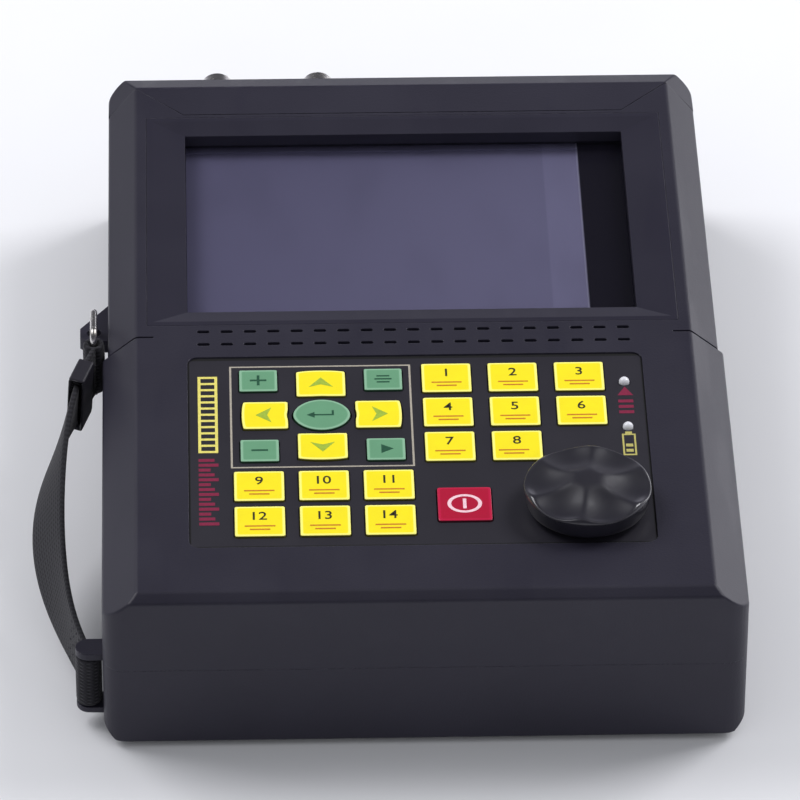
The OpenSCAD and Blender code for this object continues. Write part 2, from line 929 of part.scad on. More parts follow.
// Surround: flange on the shell's ledge, skirt below it, and the stepped well for the window
module screen_surround() {
    mid = (surround_y0 + surround_y1) / 2;
    color([0.13, 0.13, 0.15]) difference() {
        union() {
            translate([0, mid, face_z - surround_t]) linear_extrude(surround_t)
                square([surround_w, surround_l], center = true);
            translate([0, mid, window_low_z]) linear_extrude(face_z - surround_t - window_low_z)
                square([surround_w - 2 * skirt_in, surround_l - 2 * skirt_in], center = true);
        }
        translate([0, window_cy, window_z - overrun]) linear_extrude(body_t)
            square([window_w, window_l], center = true);
        intersection() {
            translate([0, window_y1 + surround_l, 0]) rotate([90, 0, 0])
                linear_extrude(2 * surround_l) slope_section(-window_w / 2, window_w / 2, slope_side);
            translate([-surround_w / 2, 0, 0]) rotate([90, 0, 90])
                linear_extrude(surround_w) slope_section(window_y0, window_y1, slope_end);
        }
        translate([0, window_cy, window_low_z - overrun]) linear_extrude(window_t + overrun)
            square([window_w + 2 * window_lap, window_l + 2 * window_lap], center = true);
    }
}

module screen_window() {
    color([0.55, 0.56, 0.66, 0.5]) translate([0, window_cy, window_low_z]) linear_extrude(window_t)
        square([window_w + 2 * window_lap - fit, window_l + 2 * window_lap - fit], center = true);
}

// Display module with its frame and four ears. Its viewing area starts at the window's left edge.
module display_module() {
    view_w = window_w * view_share;
    view_l = window_l - fit;
    color([0.3, 0.3, 0.36]) difference() {
        union() {
            translate([0, window_cy, display_low_z]) linear_extrude(display_t)
                round_rect(display_w, display_l, key_r);
            for (p = display_post_spots) hull() {
                translate(p) upright(ear_r, display_top_z - ear_t, display_top_z);
                translate([sign(p[0]) * (display_w / 2 - ear_r), p[1], 0])
                    upright(ear_r, display_top_z - ear_t, display_top_z);
            }
        }
        translate([(view_w - window_w) / 2, window_cy, display_top_z - display_gap])
            linear_extrude(2 * display_gap) square([view_w, view_l], center = true);
        for (p = display_post_spots) translate(p)
            upright(pilot_r + fit, display_top_z - 2 * ear_t, display_top_z + overrun);
    }
}

// Snap domes, one under every key
module dome_sheet() {
    color("silver") for (i = [0:key_count - 1]) translate(key_place(i)) translate([0, 0, pad_board_z])
        cylinder(r1 = dome_d / 2, r2 = dome_d / 4, h = dome_h);
}

module keypad_board() {
    header_w = ribbon_w;
    header_l = ribbon_foot;
    color("darkgreen") difference() {
        union() {
            translate([0, 0, pad_board_z - board_t]) linear_extrude(board_t) pad_outline(-pad_board_in / 2);
            translate([-header_w / 2, pad_y1 - 4 * header_l, main_board_z + board_t])
                cube([header_w, header_l, pad_board_z - board_t - main_board_z - board_t]);
        }
        translate([0, 0, pad_board_z - board_t - overrun]) linear_extrude(board_t + 2 * overrun) {
            translate([knob_x, knob_y]) circle(bush_d / 2 + fit);
            for (p = pad_post_spots) translate(p) circle(pilot_r + fit);
        }
    }
}

module main_board() {
    w = 2 * (cavity_half - main_board_in);
    l = body_l - main_board_end - main_board_y0;
    mid = main_board_y0 + l / 2;
    low = main_board_z + board_t;
    color("darkgreen") difference() {
        union() {
            translate([0, mid, main_board_z]) linear_extrude(board_t) round_rect(w, l, key_r);
            // Analogue shield, processor, memory, coils and the plug for the display ribbon
            translate([-w / 4, body_l - main_board_end - w / 4, low]) linear_extrude(display_t / 2)
                round_rect(w / 3, w / 4, key_r);
            translate([w / 5, mid, low]) linear_extrude(board_t) round_rect(w / 6, w / 6, key_r / 2);
            translate([-w / 5, mid, low]) linear_extrude(board_t) round_rect(w / 8, w / 5, key_r / 2);
            for (k = [0:2]) translate([-w / 3 + k * w / 8, main_board_y0 + w / 5, low])
                cylinder(r = w / 28, h = display_t / 2);
            translate([-ribbon_w / 2, ribbon_y0, low])
                cube([ribbon_w, ribbon_foot - fit, board_t]);
        }
        both_sides() for (p = pillar_spots) translate(p)
            upright(pilot_r + fit, main_board_z - overrun, low + overrun);
    }
}

module display_ribbon() {
    plug_top = main_board_z + 2 * board_t;
    color("peru") translate([-ribbon_w / 2 + fit, 0, 0]) rotate([90, 0, 90])
        linear_extrude(ribbon_w - 2 * fit) polygon([
            [ribbon_y0, plug_top], [ribbon_y0, plug_top + ribbon_t],
            [display_y0 - ribbon_out / 2, plug_top + ribbon_t],
            [display_y0 - ribbon_out / 2 + ribbon_t, display_low_z + ribbon_out / 2 + ribbon_t],
            [display_y0, display_low_z + ribbon_out / 2 + ribbon_t],
            [display_y0, display_low_z + ribbon_out / 2],
            [display_y0 - ribbon_out / 2 + 2 * ribbon_t, display_low_z + ribbon_out / 2],
            [display_y0 - ribbon_out / 2 + ribbon_t, plug_top]
        ]);
}

module bay_cut() {
    slab(bay_w, bay_y - bay_l / 2, bay_y + bay_l / 2, rear_z - overrun, rear_z + bay_depth);
    slab(cover_w, bay_y - cover_l / 2, bay_y + cover_l / 2, rear_z - overrun, rear_z + cover_t);
}

module bay_block() {
    slab(bay_w + 2 * bay_wall, bay_y - bay_l / 2 - bay_wall, bay_y + bay_l / 2 + bay_wall,
         rear_z, rear_z + bay_depth + bay_wall);
    slab(cover_w + 2 * bay_wall, bay_y - cover_l / 2 - bay_wall, bay_y + cover_l / 2 + bay_wall,
         rear_z, rear_z + ledge_h);
}

cover_screw_spots = [
    for (x = [-1, 1], y = [-1, 1])
        [x * (bay_w / 2 + cover_ledge / 2), bay_y + y * (bay_l / 2 + cover_ledge / 2)]
];

contact_spots = [for (k = [-1:1]) [k * contact_pitch, bay_y + bay_l / 4]];

module tray_block() {
    slab(tray_w + 2 * tray_wall, tray_y0 - tray_wall, tray_y1 + tray_wall,
         rear_z, rear_z + tray_depth + tray_wall);
    slab(tray_w + 2 * hinge_block_w, stand_y - hinge_block_l / 2, stand_y + hinge_block_l / 2,
         rear_z, rear_z + tray_depth + tray_wall);
}

module tray_cut() {
    slab(tray_w, tray_y0, tray_y1, rear_z - overrun, rear_z + tray_depth);
    translate([0, stand_y, stand_z]) rotate([0, 90, 0])
        cylinder(r = stand_pin_r + run_fit, h = tray_w + 2 * (stand_pin_l + fit), center = true);
}

module foot_spots() {
    both_sides() for (y = [foot_front_y, foot_end_y]) translate([foot_x, y, 0]) children();
}

// Two ears and the bar that the lower end of the strap loops round
module strap_bar() {
    span = strap_w + 2 * strap_gap;
    low = bar_z - span / 2 - bar_ear_t;
    for (z = [low, low + span + bar_ear_t]) translate([0, 0, z]) linear_extrude(bar_ear_t) {
        translate([-bar_x, bar_y - bar_ear_w / 2]) square([bar_x - half_w + wall / 2, bar_ear_w]);
        translate([-bar_x, bar_y]) circle(bar_ear_w / 2);
    }
    translate([-bar_x, bar_y, 0]) upright(bar_r, low, low + span + 2 * bar_ear_t);
}

module rear_shell() {
    color([0.16, 0.16, 0.18]) difference() {
        union() {
            difference() {
                intersection() {
                    housing(0);
                    below_parting();
                }
                cavity();
            }
            intersection() {
                housing(wall / 2);
                union() {
                    tray_block();
                    bay_block();
                    both_sides() for (p = case_screw_spots) translate(p) upright(boss_r, rear_z, parting_z);
                    both_sides() for (p = pillar_spots) translate(p) upright(pillar_r, rear_z, main_board_z);
                }
            }
            strap_bar();
        }
        bay_cut();
        tray_cut();
        foot_spots() upright(foot_d / 2, rear_z - overrun, rear_z + foot_sink);
        for (p = cover_screw_spots) translate(p)
            upright(cover_screw_r, rear_z, rear_z + ledge_h - wall / 2);
        for (p = contact_spots) translate([p[0] - contact_w / 2, p[1] - contact_l / 2, rear_z])
            cube([contact_w, contact_l, rear_t]);
        both_sides() for (p = case_screw_spots) translate(p) {
            upright(case_hole_r, 0, parting_z + overrun);
            upright(case_head_r + fit, 0, rear_z + case_head_in + case_head_h);
        }
        both_sides() for (p = pillar_spots) translate(p)
            upright(pilot_r, main_board_z - small_bite - fit, main_board_z + overrun);
        seal_path(0);
    }
}

module battery_pack() {
    low = rear_z + cover_t + fit;
    color("royalblue") translate([0, bay_y, low]) linear_extrude(pack_t)
        round_rect(pack_w, pack_l, 2 * key_r);
}

// Leaf contacts between the pack and the main board
module battery_contacts() {
    low = rear_z + cover_t + fit + pack_t;
    color("goldenrod") for (p = contact_spots)
        translate([p[0] - contact_w / 2 + fit, p[1] - contact_l / 2 + fit, low])
            cube([contact_w - 2 * fit, contact_l - 2 * fit, main_board_z - low]);
}

module battery_cover() {
    half_l = cover_l / 2 - fit;
    color([0.17, 0.17, 0.19]) difference() {
        slab(cover_w - 2 * fit, bay_y - half_l, bay_y + half_l, rear_z, rear_z + cover_t);
        for (p = cover_screw_spots) translate(p) {
            upright(cover_screw_r + fit, rear_z - overrun, rear_z + cover_t + overrun);
            upright(cover_head_r + fit, rear_z - overrun, rear_z + cover_t / 2);
        }
        // Grip ribs cut across the cover near its front edge
        for (k = [0:4]) {
            rib_y = bay_y - cover_l / 3 + k * cover_t;
            slab(cover_w / 3, rib_y, rib_y + cover_t / 2, rear_z - overrun, rear_z + cover_t / 4);
        }
    }
}

module battery_cover_screws() {
    color("silver") for (p = cover_screw_spots) translate(p) {
        upright(cover_head_r, rear_z + fit / 2, rear_z + cover_t / 2);
        upright(cover_screw_r - run_fit, rear_z + cover_t / 4, rear_z + ledge_h - wall / 2 - fit);
    }
}

// Stand: knuckle with a pin at each end, a plate with a sunk middle, and a finger notch
module folding_stand() {
    top = stand_low_z + stand_t;
    color([0.15, 0.15, 0.17]) difference() {
        union() {
            translate([0, stand_y, stand_z]) rotate([0, 90, 0]) {
                cylinder(r = knuckle_r, h = stand_w, center = true);
                cylinder(r = stand_pin_r, h = stand_w + 2 * (stand_pin_l + tray_fit) - fit, center = true);
            }
            slab(stand_w, stand_y - stand_l, stand_y, stand_low_z, top);
        }
        slab(stand_w - 2 * stand_open_in, stand_y - stand_l + stand_open_in, stand_y - stand_open_in,
             stand_low_z - overrun, top - stand_t / 2);
        slab(finger_w, stand_y - stand_l - overrun, stand_y - stand_l + finger_l / 2,
             stand_low_z - overrun, top + overrun);
    }
}

module rubber_feet() {
    color([0.1, 0.1, 0.1]) foot_spots() upright(foot_d / 2 - run_fit, 0, rear_z + foot_sink);
}

module case_screws() {
    head_z = rear_z + case_head_in;
    color("silver") both_sides() for (p = case_screw_spots) translate(p) {
        upright(case_head_r, head_z, head_z + case_head_h);
        upright(case_shank_r, head_z + case_head_h / 2, parting_z + case_bite);
    }
}

// Screw that comes up from below, its head against the plane z
module screw_up(z, through) {
    upright(small_head_r, z - small_head_h, z);
    upright(small_shank_r, z - small_head_h / 2, z + through + small_bite);
}

module board_screws() {
    color("silver") {
        for (p = pad_post_spots) translate(p) screw_up(pad_board_z - board_t, board_t);
        for (p = display_post_spots) translate(p) screw_up(display_top_z - ear_t, ear_t);
        both_sides() for (p = pillar_spots) translate(p) {
            upright(small_head_r, main_board_z + board_t, main_board_z + board_t + small_head_h);
            upright(small_shank_r, main_board_z - small_bite, main_board_z + board_t + small_head_h / 2);
        }
    }
}

// Encoder: square body under the board, threaded bush up through board and shell
module encoder_body() {
    color("silver") translate([knob_x, knob_y, 0]) difference() {
        union() {
            translate([0, 0, encoder_low_z]) linear_extrude(encoder_h) square(encoder_w, center = true);
            upright(bush_d / 2, encoder_top_z - overrun / 2, bush_top_z);
        }
        upright(shaft_d / 2 + run_fit, encoder_low_z + overrun, bush_top_z + overrun);
        upright(collar_d / 2 + chamber_fit, shaft_low_z - push_travel - collar_gap / 4,
                shaft_low_z + collar_h + collar_gap / 8);
        upright(plunger_d / 2 + run_fit, plunger_low_z - push_travel - run_fit, shaft_low_z);
    }
}

module encoder_plunger() {
    color("white") translate([knob_x, knob_y, 0]) upright(plunger_d / 2, plunger_low_z, shaft_low_z);
}

module encoder_shaft() {
    color("lightgray") translate([knob_x, knob_y, 0]) difference() {
        union() {
            upright(shaft_d / 2, shaft_low_z, shaft_top_z);
            upright(collar_d / 2, shaft_low_z, shaft_low_z + collar_h);
        }
        translate([shaft_d * flat_share, -shaft_d, bush_top_z + push_travel])
            cube([shaft_d, 2 * shaft_d, knob_top_z]);
    }
}

module encoder_nut() {
    color("silver") translate([knob_x, knob_y, pad_floor_z]) linear_extrude(nut_t) difference() {
        circle(nut_w / sqrt(3), $fn = 6);
        circle(bush_d / 2 + run_fit);
    }
}

// Half section of the knob's outside: a low crown, a rounded edge and a skirt that draws in downwards
module knob_section() {
    r = knob_d / 2;
    difference() {
        union() {
            polygon([[0, knob_low_z], [r - knob_taper, knob_low_z], [r, knob_rim_z - knob_edge],
                     [0, knob_rim_z - knob_edge]]);
            intersection() {
                translate([0, knob_low_z]) square([r - knob_edge, knob_h]);
                translate([0, knob_top_z - knob_crown_r]) circle(knob_crown_r, $fn = 720);
            }
            translate([r - knob_edge, knob_rim_z - knob_edge]) circle(knob_edge);
        }
        translate([-r, knob_low_z - overrun]) square([r, knob_h + 2 * overrun]);
        translate([hub_d / 2, knob_low_z - overrun])
            square([r - knob_wall - hub_d / 2, knob_h + overrun - knob_roof]);
    }
}

module knob() {
    color([0.08, 0.08, 0.09]) translate([knob_x, knob_y, 0]) difference() {
        rotate_extrude($fn = 96) knob_section();
        translate([0, 0, knob_low_z - overrun]) intersection() {
            cylinder(r = shaft_d / 2 + run_fit / 5, h = shaft_top_z - knob_low_z + overrun + run_fit);
            translate([-shaft_d, -shaft_d, 0])
                cube([shaft_d + shaft_d * flat_share + run_fit / 5, 2 * shaft_d, knob_h + overrun]);
        }
        for (i = [0:finger_count - 1]) rotate(finger_turn + (i + 0.5) * 360 / finger_count)
            translate([finger_out, 0, knob_top_z - finger_depth + finger_r]) sphere(finger_r, $fn = 96);
        // Room for the bush and its nut when the knob is pushed in
        upright(hub_d / 2 + fit, knob_low_z - overrun, bush_top_z + push_travel + fit);
    }
}

module indicator_lamps() {
    color("white") for (y = [lamp_high_y, lamp_low_y]) translate([lamp_x, y, 0]) {
        upright(lamp_d / 2, pad_board_z, overlay_z);
        translate([0, 0, overlay_z]) intersection() {
            sphere(lamp_d / 2);
            upright(lamp_d, 0, lamp_d);
        }
    }
}

// Places a socket, its axis out of the connector end
module socket_spot() {
    for (k = [-1, 1]) translate([socket_x + k * socket_pitch / 2, body_l, socket_z])
        rotate([-90, 0, 0]) children();
}

module probe_sockets() {
    color("lightgray") socket_spot() difference() {
        union() {
            cylinder(r = flange_r, h = flange_l);
            cylinder(r = barrel_d / 2, h = flange_l + barrel_l);
            translate([0, 0, -thread_l]) cylinder(r = thread_r, h = thread_l + flange_l);
            translate([0, 0, flange_l + barrel_l - lug_back]) rotate([0, 90, 0])
                cylinder(r = lug_r, h = lug_span, center = true);
        }
        cylinder(r = socket_bore_r, h = flange_l + barrel_l + overrun);
        translate([0, 0, -thread_l - overrun]) cylinder(r = post_core_r, h = thread_l + 2 * overrun);
    }
}

module socket_insulators() {
    color("ivory") socket_spot() difference() {
        union() {
            cylinder(r = socket_bore_r - run_fit, h = flange_l);
            cylinder(r = post_core_r, h = flange_l + barrel_l - core_back);
            translate([0, 0, -thread_l]) cylinder(r = post_core_r - run_fit, h = thread_l + overrun);
        }
        translate([0, 0, flange_l]) cylinder(r = core_hole_r, h = barrel_l + overrun);
    }
}

module socket_nuts() {
    color("silver") socket_spot() translate([0, 0, -wall - socket_nut_t])
        linear_extrude(socket_nut_t) difference() {
            circle(socket_nut_w / sqrt(3), $fn = 6);
            circle(thread_r + run_fit);
        }
}

module charger_socket() {
    color([0.1, 0.1, 0.1]) translate([charger_x, body_l, socket_z]) rotate([-90, 0, 0]) difference() {
        union() {
            translate([0, 0, -charger_l]) cylinder(r = charger_body_r, h = charger_l + charger_lip_t);
            cylinder(r = charger_lip_r, h = charger_lip_t);
        }
        difference() {
            translate([0, 0, -charger_l + wall]) cylinder(r = charger_d / 2, h = charger_l + overrun);
            translate([0, 0, -charger_l])
                cylinder(r = charger_pin_r, h = charger_l + charger_lip_t - wall / 2);
        }
    }
}

module data_port() {
    color("silver") translate([port_x, body_l + port_lip, socket_z]) rotate([90, 0, 0]) difference() {
        linear_extrude(port_l) square([port_w, port_h], center = true);
        difference() {
            translate([0, 0, -overrun]) linear_extrude(port_depth + overrun)
                square([port_w - 2 * port_skin, port_h - 2 * port_skin], center = true);
            translate([0, 0, port_skin]) linear_extrude(port_depth)
                square([port_tongue_w, port_tongue_h], center = true);
        }
    }
}

module sounder() {
    color([0.1, 0.1, 0.1]) translate([sounder_x, sounder_y, 0]) difference() {
        upright(sounder_r, face_in_z - sounder_h, face_in_z);
        upright(sounder_r / 4, face_in_z - sounder_h / 2, face_in_z + overrun);
    }
}

// Wire ring through the eye, standing along the side wall
module strap_ring() {
    r = ring_corner_r;
    straight_l = ring_l - 2 * r;
    straight_h = ring_h - 2 * r;
    mid_y = eye_y - ring_l / 2;
    color("gainsboro") translate([-ring_x, mid_y, eye_z]) {
        for (k = [-1, 1]) {
            translate([0, k * ring_l / 2, 0]) cylinder(r = ring_rod_r, h = straight_h, center = true);
            translate([0, 0, k * ring_h / 2]) rotate([90, 0, 0])
                cylinder(r = ring_rod_r, h = straight_l, center = true);
            for (m = [-1, 1]) translate([0, k * straight_l / 2, m * straight_h / 2])
                rotate([0, 90, 0]) rotate([0, 0, k > 0 ? (m > 0 ? 90 : 0) : (m > 0 ? 180 : 270)])
                    rotate_extrude(angle = 90) translate([r, 0]) circle(ring_rod_r);
        }
    }
}

// Middle line of the strap at s from 0, the lower end, to 1, the ring end
function strap_x(s) = -(bar_x + (ring_x - bar_x) * s + strap_bow * sin(180 * s));
function strap_y(s) = strap_start_y + (strap_end_y - strap_start_y) * s;
function strap_z(s) = bar_z + (eye_z - bar_z) * (s * s * (3 - 2 * s));
function strap_turn(s) = strap_tilt * pow(sin(180 * s), 2);

function strap_corner(s, across, out) = [
    strap_x(s) + across * sin(strap_turn(s)) - out * cos(strap_turn(s)),
    strap_y(s),
    strap_z(s) + across * cos(strap_turn(s)) + out * sin(strap_turn(s))
];

// Middle of the whole object in plan: from the strap to the right wall, and from the front to the sockets
strap_out_x = min([for (i = [0:strap_rings], k = [-1, 1])
    strap_corner(i / strap_rings, k * strap_w / 2, strap_t / 2)[0]]);
middle_x = (half_w + strap_out_x) / 2;
middle_y = (body_l + flange_l + barrel_l) / 2;

module placed() {
    translate([-middle_x, -middle_y, 0]) children();
}

module hand_strap() {
    n = strap_rings;
    h = strap_w / 2;
    t = strap_t / 2;
    points = [for (i = [0:n]) let (s = i / n) each [
        strap_corner(s, -h, -t), strap_corner(s, h, -t), strap_corner(s, h, t), strap_corner(s, -h, t)
    ]];
    sides = [for (i = [0:n - 1], k = [0:3]) let (a = 4 * i + k, b = 4 * i + (k + 1) % 4) each
        [[a, b, a + 4], [b, b + 4, a + 4]]];
    ends = [[0, 2, 1], [0, 3, 2], [4 * n, 4 * n + 1, 4 * n + 2], [4 * n, 4 * n + 2, 4 * n + 3]];
    loop_low = bar_r + strap_gap;
    loop_high = ring_rod_r + strap_gap;
    color([0.12, 0.12, 0.13]) union() {
        polyhedron(points, concat(sides, ends));
        translate([-bar_x, bar_y, bar_z]) difference() {
            cylinder(r = loop_low + strap_t, h = strap_w, center = true);
            cylinder(r = loop_low, h = strap_w + overrun, center = true);
        }
        translate([-ring_x, eye_y - ring_l, eye_z]) difference() {
            cylinder(r = loop_high + strap_t, h = strap_w, center = true);
            cylinder(r = loop_high, h = strap_w + overrun, center = true);
        }
    }
}

// Adjuster: a block with a slot that the webbing runs through
module strap_buckle() {
    s = buckle_share;
    before = s - 1 / (2 * strap_rings);
    slope = atan2(strap_x(s) - strap_x(before), strap_y(s) - strap_y(before));
    rise = atan2(strap_z(s) - strap_z(before), strap_y(s) - strap_y(before));
    color([0.2, 0.2, 0.22]) translate([strap_x(s), strap_y(s), strap_z(s)])
        rotate([rise, 0, 0]) rotate([0, strap_turn(s), 0]) rotate([0, 0, -slope]) difference() {
            cube([buckle_t, buckle_l, strap_w + 2 * buckle_side + 2 * strap_gap], center = true);
            cube([strap_t + 5 * strap_gap, 2 * buckle_l, strap_w + 3 * strap_gap], center = true);
        }
}

placed() rear_shell();
placed() front_shell();
placed() top_cap();
placed() shell_seal();
placed() screen_surround();
placed() screen_window();
placed() display_module();
placed() keypad_overlay();
placed() dome_sheet();
placed() keypad_board();
placed() main_board();
placed() battery_pack();
placed() battery_contacts();
placed() battery_cover();
placed() battery_cover_screws();
placed() encoder_body();
placed() encoder_plunger();
placed() encoder_shaft();
placed() encoder_nut();
placed() knob();
placed() indicator_lamps();
placed() probe_sockets();
placed() socket_insulators();
placed() socket_nuts();
placed() charger_socket();
placed() data_port();
placed() sounder();
placed() display_ribbon();
placed() hand_strap();
placed() strap_ring();
placed() strap_buckle();
placed() folding_stand();
placed() rubber_feet();
placed() case_screws();
placed() board_screws();
placed() arrow_key(0, 0);  // arrow_up
placed() arrow_key(180, 1);  // arrow_down
placed() arrow_key(90, 2);  // arrow_left
placed() arrow_key(270, 3);  // arrow_right
placed() centre_key();
placed() power_key();
for (i = [1:4])
    placed() corner_key(i - 1);
for (i = [1:function_key_count])
    placed() function_key(i - 1);
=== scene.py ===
import math

import bmesh
import bpy
import numpy as np
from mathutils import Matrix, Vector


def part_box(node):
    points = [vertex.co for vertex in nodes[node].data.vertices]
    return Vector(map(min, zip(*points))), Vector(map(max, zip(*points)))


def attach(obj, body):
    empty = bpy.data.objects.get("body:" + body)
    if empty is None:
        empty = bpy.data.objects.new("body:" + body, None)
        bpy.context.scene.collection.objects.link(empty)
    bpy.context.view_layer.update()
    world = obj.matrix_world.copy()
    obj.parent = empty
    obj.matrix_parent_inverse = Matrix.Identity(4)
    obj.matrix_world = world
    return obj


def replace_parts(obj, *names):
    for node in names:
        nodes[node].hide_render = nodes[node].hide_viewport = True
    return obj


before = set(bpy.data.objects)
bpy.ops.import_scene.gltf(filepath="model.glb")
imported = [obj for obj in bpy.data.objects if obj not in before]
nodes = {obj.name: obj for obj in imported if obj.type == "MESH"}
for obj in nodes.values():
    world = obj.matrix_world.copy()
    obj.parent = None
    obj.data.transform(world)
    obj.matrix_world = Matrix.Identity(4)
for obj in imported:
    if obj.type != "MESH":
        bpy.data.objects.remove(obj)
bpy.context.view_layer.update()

# The instrument lies on its back on a plain pale table, in front of a camera that looks down on its front
# edge from the user's side. Every size below is in millimetres on the housing's own drawing: x from the
# middle of the housing, y back from its front wall, z up from the table.
cap_low, cap_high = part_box("top_cap")
housing_middle = np.array([(cap_low.x + cap_high.x) / 2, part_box("front_shell")[0].y, 0.0])


def place(points):
    """Metres in the frame: a thousandth of the drawing's millimetres, shifted to where the housing stands."""
    return np.asarray(points, float) * 0.001 + housing_middle


scene = bpy.context.scene


def added(name, data):
    """A new object in the scene."""
    made = bpy.data.objects.new(name, data)
    scene.collection.objects.link(made)
    return made


scene.view_settings.view_transform = "Standard"
lens = bpy.data.cameras.new("camera")
lens.lens = 340.4
lens.sensor_width = 36
lens.clip_start = 0.05
camera = added("camera", lens)
camera.location = place((-60.6, -1599.1, 1325.8))
camera.rotation_euler = [math.radians(a) for a in (52.959, -0.329, -1.65)]
scene.camera = camera


class Number:
    """What one node hands on. Python arithmetic on it adds the Math nodes."""

    def __init__(self, tree, socket):
        self.tree, self.socket = tree, socket

    def math(self, operation, *values):
        return self.tree.node("ShaderNodeMath", {"operation": operation}, dict(enumerate((self, *values))))

    def __add__(self, other):
        return self.math("ADD", other)

    def __sub__(self, other):
        return self.math("SUBTRACT", other)

    def __mul__(self, other):
        return self.math("MULTIPLY", other)

    def __rsub__(self, other):
        return self * -1 + other

    __radd__ = __add__
    __rmul__ = __mul__


class Tree:
    """Nodes round one main shader: fixed values stand on sockets, and varying ones are wired to them."""

    def __init__(self, owner, shader):
        owner.use_nodes = True
        self.nodes, self.links = owner.node_tree.nodes, owner.node_tree.links
        self.shader = self.nodes[shader]

    def wire(self, value, socket):
        if isinstance(value, Number):
            self.links.new(value.socket, socket)
        elif socket.type == "RGBA":
            socket.default_value = (*value, 1)
        else:
            socket.default_value = value

    def feed(self, values):
        for name, value in values.items():
            self.wire(value, self.shader.inputs[name])

    def node(self, kind, settings=None, sockets=None, out=0):
        """Adds one node: its settings first, then its sockets. Returns one output, or all for None."""
        node = self.nodes.new(kind)
        for name, value in (settings or {}).items():
            setattr(node, name, value)
        for name, value in (sockets or {}).items():
            self.wire(value, node.inputs[name])
        if out is None:
            return [Number(self, output) for output in node.outputs]
        return Number(self, node.outputs[out])

    def axes(self, point):
        return self.node("ShaderNodeSeparateXYZ", None, {0: point}, out=None)

    def ease(self, value, low, high, start=0.0, end=1.0):
        """Runs smoothly from start to end while the value goes from low to high."""
        return self.node("ShaderNodeMapRange", {"interpolation_type": "SMOOTHSTEP"},
                         {0: value, 1: low, 2: high, 3: start, 4: end})


class Finish(Tree):
    """A material: its fixed values are given at once, and its varying ones are fed to it afterwards."""

    def __init__(self, name, fixed):
        self.material = bpy.data.materials.new(name)
        super().__init__(self.material, "Principled BSDF")
        self.feed(fixed)

    def where(self):
        """The point on the surface, in millimetres."""
        point = self.node("ShaderNodeTexCoord", out="Object")
        return self.node("ShaderNodeVectorMath", {"operation": "SCALE"}, {0: point, "Scale": 1000.0})

    def grain(self, size, detail=2.0, stretch=None, roughness=0.5):
        """Noise from 0 to 1 in clouds about one size across, drawn out along an axis by stretch."""
        point = self.where()
        if stretch:
            point = self.node("ShaderNodeVectorMath", {"operation": "MULTIPLY"}, {0: point, 1: stretch})
        return self.node("ShaderNodeTexNoise", None,
                         {"Vector": point, "Scale": 1 / size, "Detail": detail, "Roughness": roughness})

    def blend(self, share, first, second):
        """The first colour where the share is 0 and the second where it is 1."""
        return self.node("ShaderNodeMix", {"data_type": "RGBA"}, {0: share, 6: first, 7: second}, out=2)

    def worn(self, radius):
        """From 0 on flat faces to 1 on outer and inner edges, and the normal of those edges rounded over."""
        rounded = self.node("ShaderNodeBevel", {"samples": 4}, {"Radius": radius * 0.001})
        true = self.node("ShaderNodeNewGeometry", out="True Normal")
        along = self.node("ShaderNodeVectorMath", {"operation": "DOT_PRODUCT"}, {0: rounded, 1: true},
                          out="Value")
        return self.ease(along, 0.999, 0.8), rounded

    def relief(self, height, depth, normal=None):
        """Raises the surface by a height from 0 to 1 times a depth in millimetres."""
        sockets = {"Height": height, "Strength": 1.0, "Distance": depth * 0.001}
        if normal:
            sockets["Normal"] = normal
        self.feed({"Normal": self.node("ShaderNodeBump", None, sockets)})


# Table: a plain pale sheet that takes the instrument's soft shadow. The daylight round it is pale too, and
# metal and glass show the same pale room that the camera would see.
paper = Finish("table_paper", {"Base Color": (0.80, 0.80, 0.81), "Roughness": 0.85,
                               "Specular IOR Level": 0.1})
cloud = paper.grain(90, 3)
paper.feed({"Base Color": paper.blend(cloud, (0.78, 0.78, 0.79), (0.83, 0.83, 0.84))})
table_half = 4.0
corners = [(x * table_half, y * table_half, 0) for x, y in ((-1, -1), (1, -1), (1, 1), (-1, 1))]
table_mesh = bpy.data.meshes.new("table")
table_mesh.from_pydata(corners, [], [(0, 1, 2, 3)])
table_mesh.materials.append(paper.material)
table = added("table", table_mesh)

world = bpy.data.worlds.new("room")
scene.world = world
room = Tree(world, "Background")
room.feed({"Color": (0.93, 0.95, 1.0), "Strength": 0.55})
across, _, up = room.axes(room.node("ShaderNodeTexCoord", out="Generated"))
low_glow = room.ease(up, 0.05, 0.42, 0.72, 0.10)
left_shade = room.ease(across, -0.75, 0.10, 0.60, 1.0)
mirrored = room.node("ShaderNodeBackground", None,
                     {"Color": (0.88, 0.87, 1.0), "Strength": low_glow * left_shade})
backdrop = room.node("ShaderNodeBackground", None, {"Color": (0.96, 0.96, 0.98)})
seen, glossy, through = [room.node("ShaderNodeLightPath", out=f"Is {kind} Ray")
                         for kind in ("Camera", "Glossy", "Transmission")]
lit_room = room.node("ShaderNodeMixShader", None, {0: glossy.math("MAXIMUM", through),
                                                   1: Number(room, room.shader.outputs[0]), 2: mirrored})
whole_room = room.node("ShaderNodeMixShader", None, {0: seen, 1: lit_room, 2: backdrop})
room.wire(whole_room, room.nodes["World Output"].inputs["Surface"])


def soft_light(name, at, aim, size, power, tint):
    """A soft box at a point in metres, turned to face another point."""
    box = bpy.data.lights.new(name, "AREA")
    box.shape = "RECTANGLE"
    box.size, box.size_y = size
    box.energy = power
    box.color = tint
    lamp = added(name, box)
    away = np.array(at, float) - np.array(aim, float)
    lamp.location = at
    lamp.rotation_euler = (math.atan2(math.hypot(away[0], away[1]), away[2]), 0,
                           math.atan2(away[0], -away[1]))


